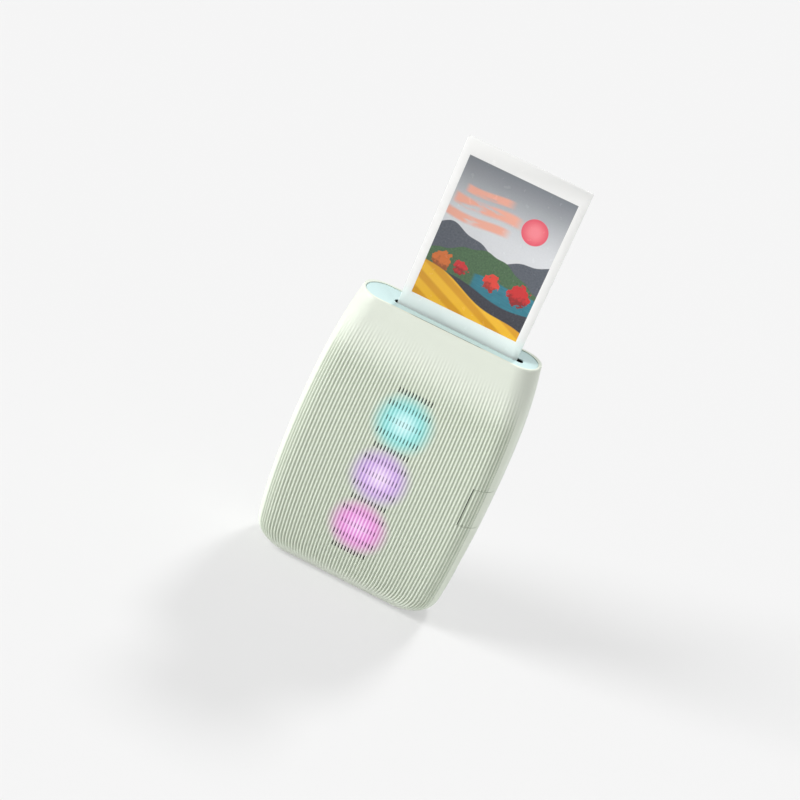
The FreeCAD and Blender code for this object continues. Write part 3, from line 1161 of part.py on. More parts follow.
SOCKET_X = ("-(body_width / 2 - socket_sunk)", "-(body_width / 2 - socket_sunk - socket_length)")
socket_body = slot_along_x("socket_body", SOCKET_X, SOCKET_Y, "socket_z", "socket_width", "socket_thick")
mouth_x = (f"{SOCKET_X[0]} - overrun", f"{SOCKET_X[1]} - socket_back")
socket_mouth = slot_along_x("socket_mouth", mouth_x, SOCKET_Y, "socket_z", "socket_width - 2 * socket_wall",
                            "socket_thick - 2 * socket_wall")
socket_tongue = block("socket_tongue", (f"{SOCKET_X[0]} + tongue_thick", SOCKET_X[1]),
                      around(SOCKET_Y, "tongue_thick"), around("socket_z", "socket_width - socket_thick"))
piece(fuse("socket_group", cut("socket_shell", socket_body, socket_mouth), socket_tongue), "charging_socket")
piece(block("reset_switch_body", SWITCH_X, (f"{BOARD_FRONT} - switch_depth", BOARD_FRONT),
            around("reset_z", "switch_height")), "reset_switch")
RESET_SPOT = (RESET_Y, "reset_z")
FLANGE_X = (FLANGE_LEFT, f"{FLANGE_LEFT} + flange_thick")
reset_rod = rod("reset_rod", "x", RESET_SPOT, (RESET_END, FLANGE_X[1]), "reset_radius")
reset_flange = rod("reset_flange", "x", RESET_SPOT, FLANGE_X, "flange_radius")
reset_stem = rod("reset_stem", "x", RESET_SPOT, (FLANGE_X[0], f"{SWITCH_X[0]} - reset_travel - tongue_gap"),
                 "stem_radius")
piece(fuse("reset_body", reset_rod, reset_flange, reset_stem), "reset_button")

# Key board on the right of the chassis, and the switch that the power key presses

KEY_SWITCH_LEFT = f"({KEY_BOARD_X} + board_thick)"
piece(block("key_board_plate", (KEY_BOARD_X, KEY_SWITCH_LEFT), ("key_board_front", PLATE_FACE),
            around(KEY_Z, "key_board_height")), "key_board")
switch_box = block("switch_box", (KEY_SWITCH_LEFT, f"{KEY_SWITCH_LEFT} + switch_thick"),
                   around("key_stem_y", "switch_size"), around(KEY_Z, "switch_size"))
plunger = rod("switch_plunger", "x", ("key_stem_y", KEY_Z),
              (KEY_SWITCH_LEFT, f"{KEY_SWITCH_LEFT} + switch_thick + plunger_length"), "plunger_radius")
piece(fuse("key_switch_body", switch_box, plunger), "key_switch")

# Checks and export

DOC.recompute()
faults = []
for made in DOC.Objects:
    if "Invalid" in made.State or "Error" in made.State:
        faults.append(f"{made.Label}: state {made.State}")
for made in PIECES:
    if made.Shape.isNull() or not made.Shape.isValid() or not made.Shape.Solids:
        faults.append(f"{made.Label}: no valid solid")
if faults:
    raise RuntimeError("; ".join(faults))
os.makedirs("parts", exist_ok=True)
for made in PIECES:
    made.Shape.exportStep(f"parts/{made.Label}.step")
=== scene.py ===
"""Looks of a compact photo printer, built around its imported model.

Row frame, in metres: X across the front, Y from the ribbed front (negative) to the film door, Z up.
The origin is the middle of the footprint, on the surface that the printer stands on.
Sizes in the classes below are in millimetres, and MM turns them into metres.
"""

import logging
import math
from dataclasses import dataclass, field, replace
from enum import Enum
from typing import Optional, Sequence, Union

import bpy
from mathutils import Matrix, Vector


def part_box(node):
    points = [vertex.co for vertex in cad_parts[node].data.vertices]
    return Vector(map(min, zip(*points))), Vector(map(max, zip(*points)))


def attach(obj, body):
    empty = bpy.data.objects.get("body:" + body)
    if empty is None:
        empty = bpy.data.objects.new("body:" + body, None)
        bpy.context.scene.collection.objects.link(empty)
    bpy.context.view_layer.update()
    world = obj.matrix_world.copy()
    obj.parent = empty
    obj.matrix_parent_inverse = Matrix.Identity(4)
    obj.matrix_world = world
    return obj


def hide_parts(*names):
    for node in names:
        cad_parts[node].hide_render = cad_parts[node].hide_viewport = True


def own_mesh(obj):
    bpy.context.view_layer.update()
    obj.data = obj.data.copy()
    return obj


LOG = logging.getLogger("photo_printer")
MM = 0.001
SAME_PLACE = MM / 1000
ROD_SIDES = 48
ROUND_END = 0.98

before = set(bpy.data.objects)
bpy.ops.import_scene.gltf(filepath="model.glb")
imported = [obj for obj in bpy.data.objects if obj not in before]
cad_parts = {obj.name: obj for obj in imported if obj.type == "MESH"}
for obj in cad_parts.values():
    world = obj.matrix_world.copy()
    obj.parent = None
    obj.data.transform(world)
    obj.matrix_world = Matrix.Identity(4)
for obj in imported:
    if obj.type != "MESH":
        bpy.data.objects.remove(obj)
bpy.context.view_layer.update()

Colour = tuple[float, float, float]
Corner = tuple[float, float, float]
Range = tuple[float, float]


class Half(Enum):
    """The two halves of the casing, and the sign of the side that each faces along Y."""

    FRONT = -1
    REAR = 1


class Stretch(Enum):
    """Stretches of a casing outline, from its middle to the seam."""

    FACE = "face"
    BEND = "bend"
    FLANK = "flank"


class Cut(Enum):
    """What a second solid does to the first."""

    REMOVE = "DIFFERENCE"
    KEEP = "INTERSECT"
    JOIN = "UNION"


# Modelling by hand, through the operators


def activate(piece: bpy.types.Object) -> None:
    """Selects one piece alone and makes it the active one.

    Args:
        piece: The object to work on.
    """
    if bpy.context.mode != "OBJECT":
        bpy.ops.object.mode_set(mode="OBJECT")
    bpy.ops.object.select_all(action="DESELECT")
    piece.select_set(True)
    bpy.context.view_layer.objects.active = piece


def start_edit(piece: bpy.types.Object, everything: bool = True) -> None:
    """Enters edit mode on a piece, in edge mode.

    Args:
        piece: The object to work on.
        everything: Whether all of it is selected, or nothing.
    """
    activate(piece)
    bpy.ops.object.mode_set(mode="EDIT")
    bpy.ops.mesh.select_mode(type="EDGE")
    bpy.ops.mesh.select_all(action="SELECT" if everything else "DESELECT")


def end_edit() -> None:
    """Leaves edit mode."""
    bpy.ops.object.mode_set(mode="OBJECT")


def node_box(node: str) -> tuple[Vector, Vector]:
    """The lowest and the highest corner of a CAD node, in millimetres."""
    low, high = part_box(node)
    return low / MM, high / MM


def new_piece(name: str) -> bpy.types.Object:
    """Names the primitive that was just added, and applies its place and size.

    Args:
        name: The piece's name.

    Returns:
        The object, with its place in its mesh.
    """
    piece = bpy.context.active_object
    piece.name = name
    piece.data.name = name
    activate(piece)
    bpy.ops.object.transform_apply(location=True, rotation=True, scale=True)
    return piece


def add_block(name: str, low: Corner, high: Corner) -> bpy.types.Object:
    """A box between two corners, in millimetres.

    Args:
        name: The piece's name.
        low: The lowest corner.
        high: The highest corner.

    Returns:
        The new object.
    """
    middle = [(a + b) / 2 * MM for a, b in zip(low, high)]
    size = [(b - a) * MM for a, b in zip(low, high)]
    bpy.ops.mesh.primitive_cube_add(size=1, location=middle, scale=size)
    return new_piece(name)


def add_rod(name: str, start: Corner, end: Corner, radius: float) -> bpy.types.Object:
    """A round bar between two points, in millimetres.

    Args:
        name: The piece's name.
        start: The middle of one end.
        end: The middle of the other end.
        radius: The bar's radius.

    Returns:
        The new object.
    """
    first, last = Vector(start) * MM, Vector(end) * MM
    turn = (last - first).to_track_quat("Z", "Y").to_euler()
    bpy.ops.mesh.primitive_cylinder_add(vertices=ROD_SIDES, radius=radius * MM, depth=(last - first).length,
                                        location=(first + last) / 2, rotation=turn)
    return new_piece(name)


def add_pill(name: str, low: Corner, high: Corner, axis: int, radius: float, steps: int) -> bpy.types.Object:
    """A bar with rounded corners that runs along one axis, in millimetres.

    Args:
        name: The piece's name.
        low: The lowest corner.
        high: The highest corner.
        axis: The axis that the bar runs along: 0, 1 or 2 for X, Y or Z.
        radius: The radius of its four long edges.
        steps: Faces round each of them.

    Returns:
        The new object.
    """
    piece = add_block(name, low, high)
    start_edit(piece, everything=False)
    end_edit()
    points = piece.data.vertices
    for edge in piece.data.edges:
        run = points[edge.vertices[1]].co - points[edge.vertices[0]].co
        edge.select = abs(run[axis]) > run.length / 2
    bpy.ops.object.mode_set(mode="EDIT")
    bpy.ops.mesh.bevel(offset=radius * MM, offset_type="OFFSET", segments=steps, affect="EDGES")
    bpy.ops.mesh.select_all(action="SELECT")
    bpy.ops.mesh.remove_doubles(threshold=SAME_PLACE)
    end_edit()
    return piece


def apply_modifier(piece: bpy.types.Object, kind: str, **settings: object) -> None:
    """Adds a modifier and applies it.

    Args:
        piece: The object to change.
        kind: The modifier's type.
        settings: Its settings by name.
    """
    activate(piece)
    modifier = piece.modifiers.new(kind.lower(), kind)
    for key, value in settings.items():
        setattr(modifier, key, value)
    bpy.ops.object.modifier_apply(modifier=modifier.name)


def combine(piece: bpy.types.Object, tool: bpy.types.Object, cut: Cut) -> None:
    """Cuts a piece by a tool, or joins the tool to it, and uses the tool up."""
    apply_modifier(piece, "BOOLEAN", operation=cut.value, object=tool, solver="EXACT")
    bpy.data.objects.remove(tool)


def soften(piece: bpy.types.Object, width: float, steps: int, angle: float) -> None:
    """Rounds the edges that are sharper than an angle in degrees, over a width in millimetres."""
    apply_modifier(piece, "BEVEL", width=width * MM, segments=steps, limit_method="ANGLE",
                   angle_limit=math.radians(angle), use_clamp_overlap=True)


def copy_piece(piece: bpy.types.Object, name: str) -> bpy.types.Object:
    """A copy of a piece with its own mesh.

    Args:
        piece: The object to copy.
        name: The copy's name.

    Returns:
        The copy.
    """
    twin = bpy.data.objects.new(name, piece.data.copy())
    bpy.context.scene.collection.objects.link(twin)
    return twin


def merge(name: str, parts: Sequence[bpy.types.Object]) -> bpy.types.Object:
    """Joins several objects into one.

    Args:
        name: The name of the result.
        parts: The objects, which are used up.

    Returns:
        The joined object.
    """
    activate(parts[0])
    for part in parts:
        part.select_set(True)
    bpy.ops.object.join()
    parts[0].name = name
    return parts[0]


def shade(piece: bpy.types.Object, angle: float = 35.0) -> None:
    """Smooth shading, apart from edges that are sharper than an angle in degrees."""
    activate(piece)
    bpy.ops.object.shade_smooth_by_angle(angle=math.radians(angle))


def face_outwards(piece: bpy.types.Object) -> None:
    """Merges doubled points and turns all faces outwards.

    Args:
        piece: The object to clean.
    """
    start_edit(piece)
    bpy.ops.mesh.remove_doubles(threshold=SAME_PLACE)
    bpy.ops.mesh.normals_make_consistent(inside=False)
    end_edit()


# Materials as expressions


def srgb(red: int, green: int, blue: int) -> Colour:
    """A screen colour, with channels from 0 to 255, as the linear one that shaders use."""
    def linear(value: float) -> float:
        """One channel."""
        return value / 12.92 if value <= 0.04045 else ((value + 0.055) / 1.055) ** 2.4
    return linear(red / 255), linear(green / 255), linear(blue / 255)


def shadow_of(colour: Colour, share: float) -> Colour:
    """A colour with a share of its light."""
    return tuple(channel * share for channel in colour)


BLACK = srgb(0, 0, 0)
CAP_TINT = srgb(205, 231, 230)
SHELL_TINT = srgb(228, 235, 221)


class Field:
    """A value that changes over a surface, with Python's operators."""

    def __init__(self, paint: "Paint", socket: bpy.types.NodeSocket) -> None:
        """Wraps an output of one of a material's nodes."""
        self.paint = paint
        self.socket = socket

    def __add__(self, other: "Value") -> "Field":
        """The sum."""
        return self.paint.maths("ADD", self, other)

    def __radd__(self, other: "Value") -> "Field":
        """The sum."""
        return self.paint.maths("ADD", other, self)

    def __sub__(self, other: "Value") -> "Field":
        """The difference."""
        return self.paint.maths("SUBTRACT", self, other)

    def __rsub__(self, other: "Value") -> "Field":
        """The difference, from the other value."""
        return self.paint.maths("SUBTRACT", other, self)

    def __mul__(self, other: "Value") -> "Field":
        """The product."""
        return self.paint.maths("MULTIPLY", self, other)

    def __rmul__(self, other: "Value") -> "Field":
        """The product."""
        return self.paint.maths("MULTIPLY", other, self)

    def __truediv__(self, other: "Value") -> "Field":
        """The quotient."""
        return self.paint.maths("DIVIDE", self, other)

    def __pow__(self, other: "Value") -> "Field":
        """The power."""
        return self.paint.maths("POWER", self, other)

    def sine(self) -> "Field":
        """The sine of the value in radians."""
        return self.paint.maths("SINE", self)

    def size(self) -> "Field":
        """The value without its sign."""
        return self.paint.maths("ABSOLUTE", self)

    def repeat(self) -> "Field":
        """The part after the point, from 0 to 1."""
        return self.paint.maths("FRACT", self)

    def root(self) -> "Field":
        """The square root."""
        return self.paint.maths("SQRT", self)

    def least(self, other: "Value") -> "Field":
        """The smaller of two values."""
        return self.paint.maths("MINIMUM", self, other)

    def ease(self, low: float, high: float) -> "Field":
        """A smooth step from 0 at low to 1 at high, where low may be above high."""
        inputs = {0: self, 1: low, 2: high}
        made = self.paint.node("ShaderNodeMapRange", {"interpolation_type": "SMOOTHSTEP"}, inputs)
        return Field(self.paint, made.outputs[0])


Value = Union[Field, float]
Tint = Union[Field, Colour]


def distance(along: Field, across: Field) -> Field:
    """How far a point lies from the spot that both values are measured from."""
    return (along * along + across * across).root()


class Nodes:
    """A node tree while it is put together."""

    def __init__(self, tree: bpy.types.NodeTree) -> None:
        """Starts with an empty tree."""
        self.tree = tree
        tree.nodes.clear()

    def node(self, kind: str, settings: Optional[dict] = None,
             inputs: Optional[dict] = None) -> bpy.types.Node:
        """Adds a node.

        Args:
            kind: The node's type.
            settings: Its properties, which are set first.
            inputs: Values or links of its sockets, by name or number.

        Returns:
            The node.
        """
        made = self.tree.nodes.new(kind)
        for key, value in (settings or {}).items():
            setattr(made, key, value)
        for key, value in (inputs or {}).items():
            self.feed(made.inputs[key], value)
        return made

    def feed(self, socket: bpy.types.NodeSocket, value: object) -> None:
        """Links or sets one socket.

        Args:
            socket: The input.
            value: A field, an output, a colour or a number.
        """
        if isinstance(value, Field):
            value = value.socket
        if isinstance(value, bpy.types.NodeSocket):
            self.tree.links.new(value, socket)
        elif socket.type == "RGBA":
            socket.default_value = (*value, 1.0)
        else:
            socket.default_value = value


class Paint(Nodes):
    """A material while its nodes are put together."""

    def __init__(self, name: str) -> None:
        """Starts a material with one shader.

        Args:
            name: The material's name.
        """
        self.material = bpy.data.materials.new(name)
        self.material.use_nodes = True
        super().__init__(self.material.node_tree)
        self.shader = self.node("ShaderNodeBsdfPrincipled")
        self.output = self.node("ShaderNodeOutputMaterial", inputs={0: self.shader.outputs[0]})
        self.spot: Optional[tuple[Field, Field, Field]] = None

    def maths(self, operation: str, *values: Value) -> Field:
        """A Math node on one or two values."""
        inputs = dict(enumerate(values))
        return Field(self, self.node("ShaderNodeMath", {"operation": operation}, inputs).outputs[0])

    def parts(self, kind: str) -> list[Field]:
        """The three values of the Object or the UV coordinates."""
        coordinates = self.node("ShaderNodeTexCoord").outputs[kind]
        made = self.node("ShaderNodeSeparateXYZ", inputs={0: coordinates})
        return [Field(self, part) for part in made.outputs]

    def place(self) -> tuple[Field, Field, Field]:
        """The point on the piece in the row frame, in millimetres."""
        if self.spot is None:
            self.spot = tuple(part * (1 / MM) for part in self.parts("Object"))
        return self.spot

    def noise(self, size: float, detail: float = 2.0, stretch: Corner = (1.0, 1.0, 1.0)) -> Field:
        """Soft noise from 0 to 1.

        Args:
            size: The size of its spots in millimetres.
            detail: How many finer layers it has.
            stretch: How much longer the spots are along each axis.

        Returns:
            The noise.
        """
        coordinates = self.node("ShaderNodeTexCoord").outputs["Object"]
        scale = tuple(1 / (size * MM * longer) for longer in stretch)
        mapping = self.node("ShaderNodeMapping", inputs={"Vector": coordinates, "Scale": scale})
        inputs = {"Vector": mapping.outputs[0], "Scale": 1.0, "Detail": detail}
        return Field(self, self.node("ShaderNodeTexNoise", inputs=inputs).outputs[0])

    def mix(self, factor: Value, first: Tint, second: Tint) -> Field:
        """Two colours mixed, with a factor of 0 for the first and 1 for the second."""
        inputs = {0: factor, 6: first, 7: second}
        return Field(self, self.node("ShaderNodeMix", {"data_type": "RGBA"}, inputs).outputs[2])

    def bump(self, height: Value, depth: float) -> None:
        """Raises the surface by a height field, where 1 stands for a depth in millimetres."""
        made = self.node("ShaderNodeBump", inputs={"Distance": depth * MM, "Height": height})
        self.feed(self.shader.inputs["Normal"], made.outputs[0])

    def set(self, **values: object) -> None:
        """Sets or links sockets of the shader, named in lower case with underscores."""
        for key, value in values.items():
            title = " ".join(word.upper() if word == "ior" else word.capitalize() for word in key.split("_"))
            self.feed(self.shader.inputs[title], value)


# Sizes of the casing, and the surface that every outer piece follows


@dataclass(frozen=True)
class Casing:
    """The barrel-shaped skin of the printer, in millimetres."""

    width: float
    depth: float
    height: float
    bulge: float = 57.7
    top_width: float = 80.0
    top_depth: float = 20.6
    wall: float = 1.6
    rim: float = 1.2
    side_corner: float = 9.0
    top_corner: float = 10.0
    base_side: float = 12.0
    base_front: float = 7.0
    base_rear: float = 4.0
    seam: float = 1.0
    square_share: float = 0.6
    corner_share: float = 0.97
    base_corner_share: float = 0.8

    @classmethod
    def from_frame(cls) -> "Casing":
        """The casing with its overall sizes read from the frame."""
        low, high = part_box("front_shell")
        return cls(width=2 * high.x / MM, depth=-2 * low.y / MM, height=high.z / MM)

    @staticmethod
    def base_round(z: float, radius: float, inset: float) -> float:
        """How far a rounded lower edge draws in at a height.

        Args:
            z: The height.
            radius: The edge's radius at the skin.
            inset: How far inside the skin.

        Returns:
            The distance.
        """
        if z >= radius:
            return 0.0
        reach = radius - inset
        rise = min(1.0, (radius - z) / reach)
        return reach * (1 - math.sqrt(max(0.0, 1 - rise**2)))

    def section(self, half: Half, z: float, inset: float) -> tuple[float, float, float]:
        """Half width, reach and corner radius of one half's outline at a height.

        Args:
            half: The front or the rear.
            z: The height.
            inset: How far inside the skin.

        Returns:
            The three sizes.
        """
        rise = abs(z - self.bulge) / (self.height - self.bulge)
        narrowing = self.square_share * rise**2 + (1 - self.square_share) * rise**4
        side = self.width / 2 - (self.width - self.top_width) / 2 * narrowing - inset
        reach = self.depth / 2 - (self.depth - self.top_depth) / 2 * rise**2 - inset
        side -= self.base_round(z, self.base_side, inset)
        reach -= self.base_round(z, self.base_front if half is Half.FRONT else self.base_rear, inset)
        corner = self.side_corner + (self.top_corner - self.side_corner) * rise**2 - inset
        low_share = self.base_corner_share
        limit = low_share + (self.corner_share - low_share) * min(1.0, z / self.base_side)
        return side, reach, min(corner, limit * (reach - half.value * self.seam))

    def point(self, half: Half, station: "Station", z: float, inset: float = 0.0) -> tuple[Vector, Vector]:
        """A point of an outline and its outward normal, in millimetres.

        Args:
            half: The front or the rear.
            station: The place along the outline.
            z: The height.
            inset: How far inside the skin.

        Returns:
            The point and its normal.
        """
        side, reach, corner = self.section(half, z, inset)
        straight = side - corner
        across, turn = straight, math.pi / 2
        if station.stretch is Stretch.FACE:
            run = station.share * (straight + corner * station.turn)
            across, turn = min(run, straight), max(0.0, run - straight) / corner
        elif station.stretch is Stretch.BEND:
            turn = station.turn + station.share * (math.pi / 2 - station.turn)
        normal = Vector((station.hand * math.sin(turn), half.value * math.cos(turn), 0))
        middle_y = half.value * (reach - corner)
        spot = Vector((station.hand * across, middle_y, z)) + normal * corner
        if station.stretch is Stretch.FLANK:
            spot.y += station.share * (self.seam - middle_y)
        return spot, normal


@dataclass(frozen=True)
class Station:
    """A place along a casing outline: a hand, a stretch and a share of it."""

    hand: int
    stretch: Stretch
    share: float
    turn: float = 0.0
    flute: float = 0.0


def to_seam(turn: float, bend_steps: int, flank_steps: int) -> list[Station]:
    """The places from the end of the face to the right seam.

    Args:
        turn: How far the face goes round the corner, in radians.
        bend_steps: Columns on the rest of the corner.
        flank_steps: Columns from there to the seam.

    Returns:
        The places.
    """
    stretches = ((Stretch.BEND, bend_steps), (Stretch.FLANK, flank_steps))
    return [Station(1, stretch, (step + 1) / count, turn)
            for stretch, count in stretches for step in range(count)]


def mirrored(stations: Sequence[Station]) -> list[Station]:
    """The same places on the left, the last one first."""
    return [replace(station, hand=-1) for station in reversed(stations)]


@dataclass(frozen=True)
class Row:
    """A row of points round a shell, in millimetres.

    The outline is taken at its own height. A row of a floor is drawn by a share towards the seam's middle.
    """

    outline_z: float
    z: float
    inset: float = 0.0
    fluted: bool = False
    to_seam: float = 0.0


@dataclass(frozen=True)
class Ribs:
    """The flutes of the front, in millimetres and degrees."""

    count: int = 57
    depth: float = 0.42
    turn: float = 46.0
    base_start: float = 2.0
    base_full: float = 8.0
    top_full: float = 30.0
    top_end: float = 6.0
    phase_shares: tuple[float, ...] = (0.0, 0.17, 0.34, 0.5, 0.66, 0.83)

    def strength(self, z: float, height: float) -> float:
        """How deep the flutes are at a height, as a share.

        Args:
            z: The height.
            height: The height of the rim.

        Returns:
            0 at the base and under the rim, 1 between.
        """
        def ease(share: float) -> float:
            """A smooth step."""
            share = min(1.0, max(0.0, share))
            return share * share * (3 - 2 * share)
        up = (z - self.base_start) / (self.base_full - self.base_start)
        down = (height - self.top_end - z) / (self.top_full - self.top_end)
        return ease(up) * ease(down)

    def station(self, flute: float) -> Station:
        """The place of a flute's number, counted from the left."""
        share = 2 * flute / self.count - 1
        return Station(1 if share >= 0 else -1, Stretch.FACE, abs(share), math.radians(self.turn), flute)

    def stations(self, bend_steps: int, flank_steps: int) -> list[Station]:
        """All places across the front, from the left seam to the right one.

        Args:
            bend_steps: Columns on the smooth rest of each corner.
            flank_steps: Columns from there to the seam.

        Returns:
            The places, each with its flute number.
        """
        ends = to_seam(math.radians(self.turn), bend_steps, flank_steps)
        flutes = [index + share for index in range(self.count) for share in self.phase_shares] + [self.count]
        return mirrored(ends) + [self.station(flute) for flute in flutes] + ends


@dataclass
class FrontWall:
    """The front of the casing as a closed wall, with a rounded rim, and a recess and a ledge for the cap."""

    casing: Casing
    ribs: Ribs
    rim_round: float = 0.7
    rim_chamfer: float = 0.15
    ledge: float = 1.5
    cap_thick: float = 2.4
    cap_sunk: float = 0.3
    skin_step: float = 1.25
    inner_step: float = 5.0
    rim_steps: int = 4
    base_steps: int = 10
    floor_steps: int = 4
    bend_steps: int = 8
    flank_steps: int = 5

    def rows(self) -> list[Row]:
        """Every row of the wall, from the floor's outside over the rim to the floor's inside."""
        casing, top = self.casing, self.casing.height
        seat = top - self.cap_sunk - self.cap_thick
        ledge_low = seat - self.ledge
        turns = [math.pi / 2 * step / self.base_steps for step in range(self.base_steps)]
        base = [casing.base_side * (1 - math.cos(turn)) for turn in turns]
        skin_top = top - self.rim_round
        tall = skin_top - casing.base_side
        count = round(tall / self.skin_step)
        skin = base + [casing.base_side + tall * step / count for step in range(count + 1)]
        rows = [Row(0.0, 0.0, to_seam=1 - step / self.floor_steps) for step in range(self.floor_steps)]
        rows += [Row(z, z, fluted=True) for z in skin]
        for step in range(1, self.rim_steps + 1):
            turn = math.pi / 2 * step / self.rim_steps
            z = skin_top + self.rim_round * math.sin(turn)
            rows.append(Row(top, z, self.rim_round * (1 - math.cos(turn))))
        rim, ledge, chamfer = casing.rim, casing.rim + self.ledge, self.rim_chamfer
        spots = ((top, rim - chamfer), (top - chamfer, rim), (seat, rim), (seat, ledge), (ledge_low, ledge))
        rows += [Row(top, z, inset) for z, inset in spots]
        tall = ledge_low - casing.base_side
        count = round(tall / self.inner_step)
        inner = [ledge_low - tall * step / count for step in range(count + 1)]
        reach = casing.base_side - casing.wall
        inner += [casing.base_side - reach * math.sin(turn) for turn in turns[1:]] + [casing.wall]
        rows += [Row(z, z, casing.wall) for z in inner]
        rows += [Row(casing.wall, casing.wall, casing.wall, to_seam=(step + 1) / self.floor_steps)
                 for step in range(self.floor_steps)]
        return rows

    def spot(self, row: Row, station: Station) -> Vector:
        """The point where a row meets a column, in millimetres.

        Args:
            row: The row.
            station: The column.

        Returns:
            The point.
        """
        spot, normal = self.casing.point(Half.FRONT, station, row.outline_z, row.inset)
        spot.z = row.z
        if row.fluted and station.stretch is Stretch.FACE:
            depth = self.ribs.depth * self.ribs.strength(row.z, self.casing.height)
            spot -= normal * depth * math.sin(math.pi * station.flute) ** 2
        spot.x *= 1 - row.to_seam
        spot.y += row.to_seam * (self.casing.seam - spot.y)
        return spot

    def build(self, name: str) -> bpy.types.Object:
        """The closed wall.

        Args:
            name: The piece's name.

        Returns:
            The new object, with its flutes in its UV map.
        """
        rows, stations = self.rows(), self.ribs.stations(self.bend_steps, self.flank_steps)
        bpy.ops.mesh.primitive_grid_add(size=1, x_subdivisions=len(stations) - 1,
                                        y_subdivisions=len(rows) - 1)
        piece = new_piece(name)
        spots = [self.spot(row, station) * MM for row in rows for station in stations]
        piece.data.vertices.foreach_set("co", [value for spot in spots for value in spot])
        layout = piece.data.uv_layers[0].uv
        for loop in piece.data.loops:
            row, station = divmod(loop.vertex_index, len(stations))
            strength = self.ribs.strength(rows[row].z, self.casing.height) if rows[row].fluted else 0.0
            layout[loop.index].vector = (stations[station].flute, strength)
        piece.data.update()
        start_edit(piece)
        bpy.ops.mesh.remove_doubles(threshold=SAME_PLACE)
        bpy.ops.mesh.select_all(action="DESELECT")
        bpy.ops.mesh.select_non_manifold()
        bpy.ops.mesh.edge_face_add()
        end_edit()
        face_outwards(piece)
        return piece


# Finishes


@dataclass(frozen=True)
class Light:
    """One of the three lights: its node, its height, and the colours of the shell's painted glow on ridges
    and, darker as painted shade, in hollows.
    """

    node: str
    z: float
    tint: Colour
    core: Colour
    hollow_tint: Colour
    hollow_core: Colour

    def away(self, x: Field, z: Field) -> Field:
        """How far a point lies from the light, seen from the front."""
        return distance(x, z - self.z)


LIGHTS = (
    Light("light_upper", 83.4, srgb(178, 252, 249), srgb(222, 255, 255),
          hollow_tint=srgb(96, 186, 184), hollow_core=srgb(190, 240, 240)),
    Light("light_middle", 57.6, srgb(240, 208, 255), srgb(255, 238, 255),
          hollow_tint=srgb(160, 118, 196), hollow_core=srgb(224, 196, 238)),
    Light("light_lower", 31.8, srgb(255, 188, 246), srgb(255, 226, 255),
          hollow_tint=srgb(200, 104, 182), hollow_core=srgb(226, 146, 218)),
)


@dataclass(frozen=True)
class Moulded:
    """Moulded plastic with a fine spark-eroded grain and slight mottling."""

    name: str
    colour: Colour
    roughness: float = 0.45
    grain: float = 0.012
    grain_size: float = 0.3
    mottle: float = 0.05
    mottle_size: float = 18.0
    sheen_size: float = 2.5
    sheen_spread: float = 0.08

    def paint(self) -> Paint:
        """The material's nodes, before anything is added to them."""
        paint = Paint(self.name)
        cloud = paint.noise(self.mottle_size)
        paint.set(base_color=paint.mix(cloud, self.colour, shadow_of(self.colour, 1 - self.mottle)))
        paint.set(roughness=self.roughness + (paint.noise(self.sheen_size, 3.0) - 0.5) * self.sheen_spread)
        paint.set(specular_ior_level=0.4)
        paint.bump(paint.noise(self.grain_size), self.grain)
        return paint

    def make(self) -> bpy.types.Material:
        """The finished material."""
        return self.paint().material


@dataclass(frozen=True)
class CapPlasticWithSlotShade(Moulded):
    """The cap's plastic, with painted shade on the walls of the film slot."""

    slot_middle: Range = (0.0, 0.0)
    slot_half: Range = (0.0, 0.0)
    top: float = 0.0
    # Painted shade: near black on the walls of the film slot.
    dark: Colour = srgb(16, 18, 18)
    edge: float = 0.12

    def make(self) -> bpy.types.Material:
        """The finished material."""
        paint = self.paint()
        x, y, z = paint.place()
        # Mask of the painted shade: the slot's walls, from a little below the top surface.
        inside = z.ease(self.top - self.edge, self.top - 5 * self.edge)
        for along, middle, half in zip((x, y), self.slot_middle, self.slot_half):
            inside = inside * (along - middle).size().ease(half + self.edge, half)
        colour = Field(paint, paint.shader.inputs["Base Color"].links[0].from_socket)
        # Painted shade on the slot's walls, over the cap's colour.
        paint.set(base_color=paint.mix(inside, colour, self.dark))
        return paint.material


